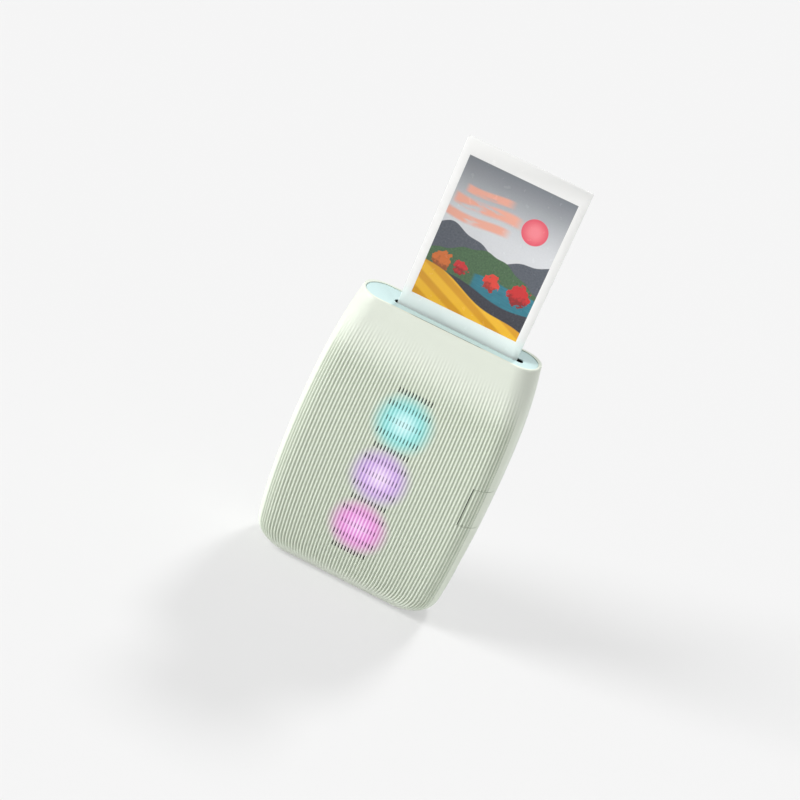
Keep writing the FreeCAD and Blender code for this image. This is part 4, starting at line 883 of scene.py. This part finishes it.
@dataclass(frozen=True)
class GlowingShell:
    """The pale green shell: ridges lighter as painted highlight and flutes darker as painted shade, painted
    shade on the walls of the slits, and a painted glow of the three lights shining through.

    Each range is where a smooth mask starts and where it is full, in millimetres.
    """

    name: str = "shell_green"
    # Ridges lighter than the smooth shell as painted highlight, flutes darker as painted shade.
    ridge_highlight: Colour = srgb(238, 246, 230)
    valley_shade: Colour = srgb(184, 194, 174)
    smooth: Colour = srgb(232, 238, 225)
    cloud: Colour = srgb(206, 216, 196)
    # Painted shade on the walls of the slits.
    slit: Colour = srgb(70, 76, 70)
    flute_shade_power: float = 0.8
    glow_range: Range = (15.5, 5.5)
    core_range: Range = (9.0, 0.0)
    glow_front: Range = (-8.0, -11.0)
    # Share of the painted glow that stays on the slits' walls under their painted shade.
    slit_glow: float = 0.32
    slit_behind: Range = (0.5, 0.8)
    slit_across: Range = (18.0, 14.0)
    slit_front: Range = (0.0, -2.0)
    slit_low: Range = (12.0, 14.0)

    def sunk(self, x: Field, y: Field, z: Field) -> Field:
        """1 on the walls of the slits over the lights and 0 on the skin, by a point's depth behind it."""
        casing = Casing.from_frame()
        rise = (z - casing.bulge) / (casing.height - casing.bulge)
        behind = y + casing.depth / 2 - rise * rise * ((casing.depth - casing.top_depth) / 2)
        beside = behind.ease(*self.slit_behind) * x.size().ease(*self.slit_across)
        return beside * y.ease(*self.slit_front) * z.ease(*self.slit_low)

    def make(self) -> bpy.types.Material:
        """The finished material."""
        paint = Paint(self.name)
        x, y, z = paint.place()
        flute, depth = paint.parts("UV")[:2]
        wave = (flute * math.pi).sine()
        # Mask of the painted shade in the flutes, deepest at their middles.
        flute_shade = (wave * wave) ** self.flute_shade_power * depth
        sunk = self.sunk(x, y, z)
        # Painted highlight on the ridges and painted shade in the flutes, fading to the plain colour where
        # the flutes end.
        colour = paint.mix(depth, self.smooth, paint.mix(flute_shade, self.ridge_highlight, self.valley_shade))
        colour = paint.mix(paint.noise(30.0) * 0.06, colour, self.cloud)
        # Painted shade on the walls of the slits.
        colour = paint.mix(sunk, colour, self.slit)
        # Painted glow of the three lights shining through the shell, on its front.
        emission: Tint = BLACK
        front = y.ease(*self.glow_front)
        for light in LIGHTS:
            away = light.away(x, z)
            halo = away.ease(*self.glow_range) * front
            core = away.ease(*self.core_range)
            ridge_highlight = paint.mix(core, light.tint, light.core)
            lit = paint.mix(flute_shade, ridge_highlight, paint.mix(core, light.hollow_tint, light.hollow_core))
            # Painted shade: the glow is dimmed on the walls of the slits.
            lit = paint.mix(sunk * (1 - self.slit_glow), lit, BLACK)
            # Under the painted glow the base colour goes to black, so the shell shows the glow's colour.
            colour = paint.mix(halo, colour, BLACK)
            emission = paint.mix(halo, emission, lit)
        paint.set(base_color=colour, emission_color=emission, emission_strength=1.0)
        paint.set(roughness=0.42 + (paint.noise(2.5, 3.0) - 0.5) * 0.06, specular_ior_level=0.4)
        paint.bump(paint.noise(0.35), 0.006)
        return paint.material


@dataclass(frozen=True)
class Metal:
    """Rolled or turned metal, with fine lines along one axis."""

    name: str
    colour: Colour
    roughness: float = 0.32
    stretch: Corner = (30.0, 1.0, 1.0)
    line_size: float = 0.12
    cloud_size: float = 6.0
    darkest: float = 0.8
    depth: float = 0.003

    def make(self) -> bpy.types.Material:
        """The finished material."""
        paint = Paint(self.name)
        lines = paint.noise(self.line_size, 3.0, self.stretch)
        cloud = paint.noise(self.cloud_size, 3.0)
        colour = paint.mix(cloud, self.colour, shadow_of(self.colour, self.darkest))
        roughness = self.roughness + (lines - 0.5) * 0.15 + (cloud - 0.5) * 0.1
        paint.set(base_color=colour, metallic=1.0, roughness=roughness)
        paint.bump(lines, self.depth)
        return paint.material


@dataclass(frozen=True)
class LitPlastic:
    """Milky plastic or a lamp that glows near one or more of the lights."""

    name: str
    lights: tuple[Light, ...]
    unlit: Colour = srgb(120, 128, 122)
    reach: float = 11.0
    strength: float = 1.0
    cloud: Colour = srgb(96, 104, 98)
    full: float = 4.0
    core: float = 6.0

    def make(self) -> bpy.types.Material:
        """The finished material."""
        paint = Paint(self.name)
        x, _, z = paint.place()
        emission: Tint = BLACK
        for light in self.lights:
            away = light.away(x, z)
            lit = paint.mix(away.ease(self.core, 0.0), light.hollow_tint, light.hollow_core)
            emission = paint.mix(away.ease(self.reach, self.full), emission, lit)
        paint.set(base_color=paint.mix(paint.noise(3.0) * 0.3, self.unlit, self.cloud), roughness=0.5)
        paint.set(emission_color=emission, emission_strength=self.strength)
        paint.bump(paint.noise(0.4), 0.01)
        return paint.material


@dataclass(frozen=True)
class Stroke:
    """A brush stroke in the sky, in shares of the picture: its height, half thickness and two ends."""

    height: float
    thick: float
    start: float
    end: float


@dataclass(frozen=True)
class Tree:
    """A tree by the lake: its place across as a share, its radius in millimetres, and its colour."""

    across: float
    radius: float
    tint: Colour


@dataclass(frozen=True)
class Land:
    """Ground below a wavy line: the line's height, each wave's count, phase and rise, and the two colours."""

    height: float
    waves: tuple[Corner, ...]
    light: Colour
    dark: Colour
    edge: float = 0.006

    def lay(self, picture: Field, across: Field, up: Field, grain: Field) -> Field:
        """Lays the ground over the picture.

        Args:
            picture: The colours so far.
            across: The share of the width.
            up: The share of the height.
            grain: The noise between the two colours.

        Returns:
            The new colours.
        """
        paint, line = picture.paint, self.height
        for count, phase, rise in self.waves:
            line = line + (across * count + phase).sine() * rise
        return paint.mix((line - up).ease(0.0, self.edge), picture, paint.mix(grain, self.light, self.dark))


STROKES = (Stroke(0.81, 0.034, 0.10, 0.50), Stroke(0.72, 0.046, 0.03, 0.62), Stroke(0.62, 0.038, 0.0, 0.55))
TREES = (Tree(0.13, 4.2, srgb(214, 112, 44)), Tree(0.30, 3.0, srgb(206, 40, 44)),
         Tree(0.60, 3.4, srgb(226, 62, 46)), Tree(0.86, 4.6, srgb(206, 34, 36)))
FAR_HILLS = Land(0.50, ((7.0, 0.6, 0.05), (19.0, 0.0, 0.015)), srgb(104, 110, 120), srgb(62, 68, 78))
NEAR_HILLS = Land(0.40, ((5.0, -0.9, 0.07), (31.0, 0.0, 0.006)), srgb(92, 128, 84), srgb(40, 74, 52))
SHORE = Land(0.20, ((6.0, 0.0, 0.03),), srgb(70, 72, 82), srgb(30, 31, 40), 0.008)


@dataclass(frozen=True)
class PrintPaper:
    """An instant print: a white border round a generic landscape of hills, a lake and a field."""

    low: Corner
    high: Corner
    name: str = "print_paper"
    border: Colour = srgb(250, 250, 248)
    # Painted light on the print's foot above the cap: a painted reflection of the cap's blue-green,
    # brightened to lift the shade there.
    foot_painted_light: Colour = srgb(244, 255, 252)
    back: Colour = srgb(52, 54, 58)
    sun_across: float = 0.76
    sun_up: float = 0.72
    sun_radius: float = 5.6
    lake_up: float = 0.30
    trees_up: float = 0.29

    def sky(self, paint: Paint, across: Field, up: Field, grain: Field) -> Field:
        """A grey sky with warm brush strokes and a red sun.

        Args:
            paint: The material.
            across: The share of the width.
            up: The share of the height.
            grain: The picture's fine noise.

        Returns:
            The colours.
        """
        wash = paint.noise(5.0, 3.0, (2.5, 1.0, 0.6)).ease(0.3, 0.5)
        picture = paint.mix(up.ease(0.55, 1.05), srgb(226, 228, 231), srgb(126, 131, 138))
        picture = paint.mix(grain * 0.12, picture, srgb(90, 92, 96))
        height = (up + (across * 9.0).sine() * 0.012).size()
        for stroke in STROKES:
            band = (height - stroke.height).size().ease(stroke.thick, stroke.thick * 0.5)
            left = across.ease(stroke.start - 0.03, stroke.start + 0.02)
            right = across.ease(stroke.end + 0.05, stroke.end - 0.06)
            picture = paint.mix(band * (left * right) * wash, picture, srgb(246, 178, 156))
        wide, tall = self.high[0] - self.low[0], self.high[2] - self.low[2]
        away = distance((across - self.sun_across) * wide, (up - self.sun_up) * tall)
        disc = paint.mix(away.ease(1.0, 6.0), srgb(255, 138, 148), srgb(236, 84, 104))
        return paint.mix(away.ease(self.sun_radius, self.sun_radius - 0.3), picture, disc)

    def lakeside(self, picture: Field, across: Field, up: Field) -> Field:
        """A lake with autumn trees in front of it.

        Args:
            picture: The colours so far.
            across: The share of the width.
            up: The share of the height.

        Returns:
            The new colours.
        """
        paint = picture.paint
        ripple = paint.noise(0.7, 2.0, (6.0, 1.0, 1.0))
        leaves = paint.noise(1.7, 3.0)
        lake = (up - self.lake_up - (across * 40.0).sine() * 0.003).ease(0.01, 0.0) * across.ease(0.42, 0.46)
        picture = paint.mix(lake, picture, paint.mix(ripple, srgb(20, 96, 118), srgb(52, 140, 156)))
        wide, tall = self.high[0] - self.low[0], self.high[2] - self.low[2]
        for tree in TREES:
            rise = (up - self.trees_up) * tall
            away = distance((across - tree.across) * wide, rise) + (leaves - 0.5) * 5.0
            shade_of_crown = (leaves * 0.7 - rise * 0.08).ease(0.32, 0.55)
            crown = paint.mix(shade_of_crown, tree.tint, shadow_of(tree.tint, 0.45))
            picture = paint.mix(away.ease(tree.radius, tree.radius - 0.35), picture, crown)
        return picture

    def make(self) -> bpy.types.Material:
        """The finished material."""
        paint = Paint(self.name)
        x, y, z = paint.place()
        across = (x - self.low[0]) / (self.high[0] - self.low[0])
        up = (z - self.low[2]) / (self.high[2] - self.low[2])
        grain = paint.noise(0.8, 4.0)
        picture = self.sky(paint, across, up, grain)
        for land in (FAR_HILLS, NEAR_HILLS):
            picture = land.lay(picture, across, up, grain)
        picture = SHORE.lay(self.lakeside(picture, across, up), across, up, grain)
        furrows = ((across * 3.0 + up * 9.0) * 6.0).sine().ease(-0.4, 0.6)
        crop = paint.mix(furrows, srgb(246, 190, 40), srgb(222, 158, 18))
        crop_line = 0.25 - across * 0.20 + (across * 8.0).sine() * 0.02
        picture = paint.mix((crop_line - up).ease(0.0, 0.008), picture, crop)
        inside = across.ease(0.0, 0.002) * across.ease(1.0, 0.998) * up.ease(0.0, 0.002) * up.ease(1.0, 0.998)
        shown = inside * y.ease(self.low[1] + 0.2, self.low[1] + 0.12)
        # Painted light and reflection towards the foot of the print, over the white border.
        paper = paint.mix(z.ease(self.low[2] + 4.0, self.low[2] - 3.0), self.border, self.foot_painted_light)
        rear = y.ease(self.high[1] - 0.1, self.high[1] - 0.04)
        colour = paint.mix(rear, paint.mix(shown, paper, picture), self.back)
        paint.set(base_color=colour, roughness=0.22 + paint.noise(3.0) * 0.08, coat_weight=shown * 0.4)
        paint.bump(paint.noise(1.2), 0.004)
        return paint.material


@dataclass(frozen=True)
class CircuitBoard:
    """A green board with copper tracks under its lacquer and tinned pads."""

    name: str = "circuit_board"
    lacquer: Colour = srgb(22, 92, 60)
    track: Colour = srgb(46, 128, 84)
    pad: Colour = srgb(206, 202, 186)
    bend: float = 9.0
    track_left: Range = (0.30, 0.42)
    track_right: Range = (0.72, 0.60)

    def tracks(self, run: Field) -> Field:
        """1 on the tracks that lie across a run and 0 between them."""
        share = run.repeat()
        return share.ease(*self.track_left) * share.ease(*self.track_right)

    def make(self) -> bpy.types.Material:
        """The finished material."""
        paint = Paint(self.name)
        x, _, z = paint.place()
        bends = (paint.noise(self.bend, 0.0) - 0.5) * self.bend
        choice = paint.noise(6.0, 0.0).ease(0.47, 0.53)
        tracks = self.tracks((x + bends) * 1.1) * choice + self.tracks((z - bends) * 0.9) * (1 - choice)
        wide = ((x * 0.45).repeat() - 0.5).size().ease(0.14, 0.10)
        tall = ((z * 0.36).repeat() - 0.5).size().ease(0.10, 0.07)
        pads = wide * tall * paint.noise(4.0, 0.0).ease(0.55, 0.58)
        colour = paint.mix(pads, paint.mix(tracks * 0.8, self.lacquer, self.track), self.pad)
        paint.set(base_color=colour, metallic=pads * 0.8, roughness=0.38 - pads * 0.1)
        paint.bump(tracks + pads, 0.03)
        return paint.material


@dataclass(frozen=True)
class Wrapped:
    """A cell in shrink film, with a plain band across one end."""

    name: str = "cell_wrap"
    film: Colour = srgb(118, 124, 134)
    band: Colour = srgb(58, 62, 70)
    crease: Colour = srgb(150, 156, 166)
    band_width: float = 5.0
    band_edge: float = 0.2

    def make(self) -> bpy.types.Material:
        """The finished material."""
        paint = Paint(self.name)
        z = paint.place()[2]
        crease = paint.noise(4.0, 4.0, (4.0, 1.0, 1.0))
        band_low = node_box("battery")[1].z - self.band_width
        film = paint.mix(z.ease(band_low - self.band_edge, band_low), self.film, self.band)
        paint.set(base_color=paint.mix(crease * 0.25, film, self.crease), metallic=0.35)
        paint.set(roughness=0.34 + (crease - 0.5) * 0.1)
        paint.bump(crease, 0.08)
        return paint.material


@dataclass(frozen=True)
class Rubber:
    """Ground rubber on a roller, and bare steel on the axle that sticks out at its ends."""

    name: str = "roller_rubber"
    rubber: Colour = srgb(66, 68, 72)
    line: Colour = srgb(40, 41, 44)
    steel: Colour = srgb(196, 198, 202)
    half_length: float = 28.5
    edge: float = 0.01

    def make(self) -> bpy.types.Material:
        """The finished material."""
        left, right = node_box("film_print")
        paint = Paint(self.name)
        from_middle = (paint.place()[0] - (left.x + right.x) / 2).size()
        axle = from_middle.ease(self.half_length - self.edge, self.half_length + self.edge)
        lines = paint.noise(0.2, 3.0, (1.0, 12.0, 12.0))
        colour = paint.mix(axle, paint.mix(lines * 0.4, self.rubber, self.line), self.steel)
        paint.set(base_color=colour, metallic=axle, roughness=0.62 - axle * 0.34 + (lines - 0.5) * 0.1)
        paint.bump(lines, 0.02)
        return paint.material


Finish = Union[Moulded, Metal, LitPlastic, CircuitBoard, Wrapped, Rubber]


# The parts of the printer


@dataclass
class Printer:
    """What every sub-assembly needs: the casing, the ribs, and a way to dress and place its pieces."""

    casing: Casing = field(default_factory=Casing.from_frame)
    ribs: Ribs = field(default_factory=Ribs)

    def dress(self, piece: bpy.types.Object, material: bpy.types.Material) -> None:
        """Gives a piece one material all over, and reports it.

        Args:
            piece: The object.
            material: Its finish.
        """
        piece.data.materials.clear()
        piece.data.materials.append(material)
        LOG.info("%s: %d faces, %s", piece.name, len(piece.data.polygons), material.name)

    def fit(self, piece: bpy.types.Object, material: bpy.types.Material, body: str, slot: str,
            node: str) -> None:
        """Dresses a finished piece and puts it on its body in place of its node.

        Args:
            piece: The object.
            material: Its finish.
            body: The body that it rides on.
            slot: The name of a material slot, which is not used.
            node: The CAD node that it stands for.
        """
        self.dress(piece, material)
        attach(piece, body)
        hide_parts(node)


@dataclass
class FrontShell(Printer):
    """The ribbed front shell with its slits and openings, and the power key cut from the same wall."""

    slit_width: float = 0.5
    slit_height: float = 2.6
    slit_round: float = 0.96
    slit_rows: int = 13
    slit_low: float = 18.9
    slit_high: float = 96.3
    slit_flutes: int = 11
    key_gap: float = 0.25
    key_front_gap: float = 0.4
    opening_front: float = 37.0
    opening_low: float = 54.0
    opening_high: float = 72.0
    opening_rear: float = -3.0
    seat_gap: float = 0.3
    reset_radius: float = 0.9
    groove_depth: float = 0.5
    groove_y: float = -6.4
    groove_z: float = 63.0
    groove_half_width: float = 0.5
    groove_half_length: float = 4.1
    stem_y: float = -9.5
    stem_radius: float = 2.0
    stem_end: float = 3.0
    hole_depth: float = 4.0
    overrun: float = 5.0

    def slits(self) -> bpy.types.Object:
        """The cutter for all the slits: one rounded bar, copied into the middle flutes of every row."""
        casing = self.casing
        half_wide, half_tall = self.slit_width / 2, self.slit_height / 2
        front, back = -casing.depth / 2 - casing.wall, -casing.depth / 2 + 3 * casing.wall
        bar = add_pill("slit", (-half_wide, front, -half_tall), (half_wide, back, half_tall),
                       axis=1, radius=half_wide * self.slit_round, steps=2)
        bars = []
        for row in range(self.slit_rows):
            z = self.slit_low + (self.slit_high - self.slit_low) * row / (self.slit_rows - 1)
            reach = self.slit_flutes // 2 + row % 2
            for index in range(-reach, reach + 1):
                station = self.ribs.station(self.ribs.count // 2 + index + 0.5)
                spot = casing.point(Half.FRONT, station, z)[0]
                copy = copy_piece(bar, "slit_copy")
                copy.data.transform(Matrix.Translation((spot.x * MM, 0.0, z * MM)))
                bars.append(copy)
        bpy.data.objects.remove(bar)
        return merge("slits", bars)

    def build(self) -> None:
        """Builds the shell and the key, and dresses both."""
        side = self.casing.width / 2
        far, inner = side + self.overrun, self.hole_depth - side
        wall = FrontWall(self.casing, self.ribs).build("shell_front")
        self.key(copy_piece(wall, "key_power"))
        opening = add_block("opening", (self.opening_front, -far, self.opening_low),
                            (far, self.opening_rear, self.opening_high))
        combine(wall, opening, Cut.REMOVE)
        low, high = node_box("charging_socket")
        room = self.seat_gap
        mouth = add_pill("mouth", (-far, low.y - room, low.z - room), (inner, high.y + room, high.z + room),
                         axis=0, radius=(high.y - low.y) / 2 + room * ROUND_END, steps=8)
        combine(wall, mouth, Cut.REMOVE)
        reset_y = high.y - self.reset_radius
        low, high = node_box("reset_button")
        reset_z = (low.z + high.z) / 2
        reset_hole = add_rod("reset_hole", (-far, reset_y, reset_z), (inner, reset_y, reset_z),
                             self.reset_radius + self.key_gap)
        combine(wall, reset_hole, Cut.REMOVE)
        combine(wall, self.slits(), Cut.REMOVE)
        shade(wall)
        self.fit(wall, GlowingShell().make(), "housing", "shell", "front_shell")

    def key(self, key: bpy.types.Object) -> None:
        """Turns a copy of the wall into the power key.

        Args:
            key: The copy.
        """
        side = self.casing.width / 2
        far = side + self.overrun
        low, high = node_box("power_key")
        front = self.opening_front + self.key_front_gap
        combine(key, add_block("key_edge", (front, -far, low.z), (far, high.y, high.z)), Cut.KEEP)
        y, z = self.groove_y, self.groove_z
        half_wide, half_long = self.groove_half_width, self.groove_half_length
        groove = add_pill("groove", (side - self.groove_depth, y - half_wide, z - half_long),
                          (far, y + half_wide, z + half_long), axis=0, radius=half_wide * ROUND_END, steps=4)
        combine(key, groove, Cut.REMOVE)
        middle_z = (low.z + high.z) / 2
        stem = add_rod("stem", (low.x, self.stem_y, middle_z), (side - self.stem_end, self.stem_y, middle_z),
                       self.stem_radius)
        combine(key, stem, Cut.JOIN)
        shade(key)
        self.fit(key, GlowingShell(name="key_green").make(), "power_key", "shell", "power_key")


@dataclass
class Lid(Printer):
    """The top cap with the film slot, and the print that stands in it."""

    cap_gap: float = 0.12
    cap_soft: float = 0.22
    slot_length: float = 58.0
    slot_width: float = 3.8
    slot_x: float = 3.7
    slot_y: float = -2.2
    slot_overrun: float = 2.0
    window_width: float = 47.0
    window_height: float = 62.0
    window_low: float = 6.1
    window_depth: float = 0.06
    card_corner: float = 0.9
    card_soft: float = 0.05
    face_steps: int = 10
    bend_steps: int = 24
    flank_steps: int = 2

    def build(self) -> None:
        """Builds and dresses the cap and the print."""
        self.cap()
        self.card()

    def outline(self) -> list[Vector]:
        """The casing's outline at the rim, drawn in to the cap's edge, in millimetres."""
        top, inset = self.casing.height, self.casing.rim + self.cap_gap
        right = [Station(1, Stretch.FACE, step / self.face_steps) for step in range(self.face_steps + 1)]
        right += to_seam(0.0, self.bend_steps, self.flank_steps)
        front = mirrored(right[1:]) + right
        halves = ((Half.FRONT, front[:-1]), (Half.REAR, reversed(front[1:])))
        return [self.casing.point(half, station, top, inset)[0]
                for half, stations in halves for station in stations]

    def cap(self) -> None:
        """The cap: the casing's own outline, drawn in, with a slot that has softened edges."""
        low, high = node_box("top_cap")
        spots = self.outline()
        bpy.ops.mesh.primitive_circle_add(vertices=len(spots), radius=1, fill_type="NGON")
        cap = new_piece("cap_top")
        for vertex, spot in zip(cap.data.vertices, spots):
            vertex.co = Vector((spot.x, spot.y, low.z)) * MM
        start_edit(cap)
        bpy.ops.mesh.extrude_region_move(TRANSFORM_OT_translate={"value": (0, 0, (high.z - low.z) * MM)})
        end_edit()
        face_outwards(cap)
        half_long, half_wide = self.slot_length / 2, self.slot_width / 2
        slot = add_pill("slot", (self.slot_x - half_long, self.slot_y - half_wide, low.z - self.slot_overrun),
                        (self.slot_x + half_long, self.slot_y + half_wide, high.z + self.slot_overrun),
                        axis=2, radius=half_wide * ROUND_END, steps=8)
        combine(cap, slot, Cut.REMOVE)
        soften(cap, self.cap_soft, steps=3, angle=40.0)
        shade(cap)
        plastic = CapPlasticWithSlotShade("cap_blue_green", CAP_TINT, roughness=0.4, grain=0.008, mottle=0.03, top=high.z,
                             slot_middle=(self.slot_x, self.slot_y), slot_half=(half_long, half_wide))
        self.fit(cap, plastic.make(), "housing", "cap", "top_cap")

    def card(self) -> None:
        """The print: a card with rounded corners and a window that is a hair lower than its border."""
        low, high = node_box("film_print")
        card = add_pill("print_card", tuple(low), tuple(high), axis=1, radius=self.card_corner, steps=5)
        middle = (low.x + high.x) / 2
        window_low = self.casing.height + self.window_low
        window_high = window_low + self.window_height
        left, right = middle - self.window_width / 2, middle + self.window_width / 2
        window_rear = low.y + self.window_depth
        window = add_block("window", (left, low.y - 1, window_low), (right, window_rear, window_high))
        combine(card, window, Cut.REMOVE)
        soften(card, self.card_soft, steps=2, angle=60.0)
        shade(card)
        paper = PrintPaper((left, low.y, window_low), (right, high.y, window_high))
        self.fit(card, paper.make(), "print", "film", "film_print")


@dataclass
class Back(Printer):
    """The rear cover, the film door and its latch button."""

    def build(self) -> None:
        """Dresses the three pieces."""
        looks = (("rear_cover", "rear_green", SHELL_TINT), ("film_door", "door_green", SHELL_TINT),
                 ("door_latch", "latch_blue_green", CAP_TINT))
        for node, name, tint in looks:
            finish = Moulded(name, tint, roughness=0.42, grain=0.006, grain_size=0.35, mottle=0.03)
            self.dress(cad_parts[node], finish.make())


@dataclass(frozen=True)
class Spring:
    """A coil spring: its node, its body, the joint that presses it, and which end is held."""

    node: str
    piece: str
    body: str
    joint: str
    held_above: bool


SPRINGS = (
    Spring("latch_spring", "spring_under_latch", "door", "latch_slide", held_above=False),
    Spring("claw_spring", "spring_over_claw", "housing", "claw_slide", held_above=True),
)


@dataclass
class Springs(Printer):
    """The two coil springs, which are squeezed by the latch and by the film claw."""

    def build(self) -> None:
        """Builds a copy of each spring in place of its node."""
        steel = Metal("spring_steel", srgb(196, 199, 205), 0.3).make()
        for spring in SPRINGS:
            coil = copy_piece(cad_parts[spring.node], spring.piece)
            face_outwards(coil)
            shade(coil)
            self.fit(coil, steel, spring.body, "steel", spring.node)
            low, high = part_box(spring.node)
            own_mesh(coil)


@dataclass
class Inside(Printer):
    """Everything that the casing holds: each node gets the finish of its real material."""

    def finishes(self) -> list[tuple[Finish, str]]:
        """Each finish, and the names of the inner nodes that have it."""
        return [
            (Moulded("dark_plastic", srgb(52, 55, 58), 0.5, grain=0.02, grain_size=0.35),
             "chassis key_switch reset_switch"),
            (Moulded("pack_plastic", srgb(38, 39, 42), 0.55, grain=0.02), "film_pack_shell"),
            (Moulded("plate_plastic", srgb(60, 63, 66), 0.5, grain=0.02, grain_size=0.35),
             "door_inner_plate"),
            (Moulded("film_sheets", srgb(236, 236, 230), 0.3, grain=0.004), "film_stack"),
            (Moulded("grey_plastic", srgb(148, 153, 156), grain=0.015), "print_head"),
            (Moulded("lens_strip", srgb(30, 36, 44), 0.08, grain=0.0, grain_size=1.0), "print_head_lens"),
            (Moulded("white_plastic", srgb(232, 234, 232), 0.4), "light_board light_box"),
            (Moulded("gear_acetal", srgb(226, 220, 200), 0.32, grain=0.004),
             "front_roller_gear rear_roller_gear upper_idler_gear lower_idler_gear"),
            (Moulded("chip_resin", srgb(34, 35, 38), 0.55, grain=0.01, grain_size=0.15), "board_chips"),
            (Moulded("reset_plastic", srgb(150, 160, 152)), "reset_button"),
            (Metal("rolled_steel", srgb(198, 201, 206)),
             "film_press_springs hinge_pins roller_pressure_springs gear_pins motor_shaft film_claw"),
            (Metal("plated_steel", srgb(214, 214, 210), 0.25, (1.0, 1.0, 30.0)),
             "roller_frame chassis_screws drive_motor charging_socket"),
            (Metal("turned_brass", srgb(214, 178, 106), 0.28, (1.0, 12.0, 12.0)),
             "roller_bushes motor_pinion"),
            (Rubber(), "front_roller rear_roller"),
            (CircuitBoard(), "main_board key_board"),
            (Wrapped(), "battery"),
            (LitPlastic("diffuser_milk", LIGHTS, srgb(84, 90, 84), strength=0.4), "light_diffuser"),
        ] + [(LitPlastic(f"{light.node}_lamp", (light,), srgb(240, 240, 220), 8.0, 1.6), light.node)
             for light in LIGHTS]

    def build(self) -> None:
        """Dresses the inner nodes."""
        for finish, nodes in self.finishes():
            material = finish.make()
            for node in nodes.split():
                self.dress(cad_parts[node], material)


# Floor, light and camera


@dataclass
class Studio:
    """A plain pale floor, soft lamps and the camera at the photograph's angle."""

    backdrop: Colour = srgb(247, 247, 247)
    floor_colour: Colour = srgb(226, 226, 226)
    floor_size: float = 8.0
    ambient: float = 0.4
    floor_glow: float = 0.5
    azimuth: float = 5.55
    elevation: float = 25.6
    distance: float = 765.6
    lean: float = 24.0
    focal_pixels: float = 1817.5
    picture_pixels: float = 800.0
    sensor: float = 36.0
    target_height: float = 62.75
    target_x_pixel: float = 395.7
    target_y_pixel: float = 451.9

    def build(self) -> None:
        """Sets up the floor, the world, the lamps and the camera."""
        self.floor()
        self.world()
        self.lamp("key", (-0.76, -0.36, 0.54), softness=25.0, level=0.76)
        self.lamp("fill", (0.85, -0.6, 0.3), softness=40.0, level=0.04)
        self.lamp("top", (0.1, 0.6, 0.8), softness=10.0, level=0.46)
        self.camera()
        bpy.context.scene.view_settings.view_transform = "Standard"

    def floor(self) -> None:
        """A wide floor that keeps a soft part of the shadow."""
        bpy.ops.mesh.primitive_plane_add(size=self.floor_size)
        floor = new_piece("floor")
        paint = Paint("floor_pale")
        paint.set(base_color=self.floor_colour, roughness=0.9, specular_ior_level=0.1)
        glow = paint.node("ShaderNodeEmission", inputs={"Color": self.backdrop, "Strength": 1.0})
        rays = paint.node("ShaderNodeLightPath").outputs
        seen = Field(paint, rays["Is Camera Ray"]) + Field(paint, rays["Is Glossy Ray"])
        share = (seen + Field(paint, rays["Is Transmission Ray"])).least(1.0) * self.floor_glow
        mixed = paint.node("ShaderNodeMixShader",
                           inputs={0: share, 1: paint.shader.outputs[0], 2: glow.outputs[0]})
        paint.feed(paint.output.inputs[0], mixed.outputs[0])
        floor.data.materials.append(paint.material)

    def world(self) -> None:
        """A pale backdrop for the camera and soft light for the rest."""
        world = bpy.data.worlds.new("studio")
        bpy.context.scene.world = world
        world.use_nodes = True
        sky = Nodes(world.node_tree)
        light = sky.node("ShaderNodeBackground", inputs={0: (1.0, 1.0, 1.0), 1: self.ambient})
        seen = sky.node("ShaderNodeBackground", inputs={0: self.backdrop, 1: 1.0})
        rays = sky.node("ShaderNodeLightPath").outputs
        share = sky.node("ShaderNodeMath", {"operation": "MAXIMUM"},
                         {0: rays["Is Camera Ray"], 1: rays["Is Transmission Ray"]})
        mixed = sky.node("ShaderNodeMixShader",
                         inputs={0: share.outputs[0], 1: light.outputs[0], 2: seen.outputs[0]})
        sky.node("ShaderNodeOutputWorld", inputs={0: mixed.outputs[0]})

    def lamp(self, name: str, side: Corner, softness: float, level: float) -> None:
        """A wide soft lamp far away, which lights the floor evenly.

        Args:
            name: The lamp's name.
            side: The direction that it stands in.
            softness: The angle in degrees that it fills.
            level: Its share of a full light, at which a colour renders as written.
        """
        bpy.ops.object.light_add(type="SUN", location=side)
        lamp = bpy.context.active_object
        lamp.name = name
        lamp.data.angle = math.radians(softness)
        lamp.data.energy = level * math.pi
        lamp.rotation_euler = (-Vector(side)).to_track_quat("-Z", "Y").to_euler()

    def camera(self) -> None:
        """The camera at the photograph's angle, turned so that the printer leans as it does there."""
        turn, rise, lean = (math.radians(angle) for angle in (self.azimuth, self.elevation, self.lean))
        back = Vector((math.sin(turn) * math.cos(rise), -math.cos(turn) * math.cos(rise), math.sin(rise)))
        place = Vector((0, 0, self.target_height * MM)) + back * self.distance * MM
        bpy.ops.object.camera_add(location=place)
        camera = bpy.context.active_object
        right = (-back).cross(Vector((0, 0, 1))).normalized()
        up = right.cross(-back)
        leaning_right = right * math.cos(lean) + up * math.sin(lean)
        leaning_up = up * math.cos(lean) - right * math.sin(lean)
        camera.rotation_mode = "QUATERNION"
        camera.rotation_quaternion = Matrix((leaning_right, leaning_up, back)).transposed().to_quaternion()
        camera.data.sensor_width = self.sensor
        camera.data.lens = self.focal_pixels / self.picture_pixels * self.sensor
        camera.data.shift_x = (self.picture_pixels / 2 - self.target_x_pixel) / self.picture_pixels
        camera.data.shift_y = (self.target_y_pixel - self.picture_pixels / 2) / self.picture_pixels
        camera.data.clip_start, camera.data.clip_end = 0.01, 50.0
        bpy.context.scene.camera = camera


def main() -> None:
    """Builds the printer's looks in order."""
    logging.basicConfig(level=logging.INFO, format="%(message)s")
    for assembly in (Studio, FrontShell, Lid, Back, Springs, Inside):
        assembly().build()


if __name__ == "__main__":
    main()
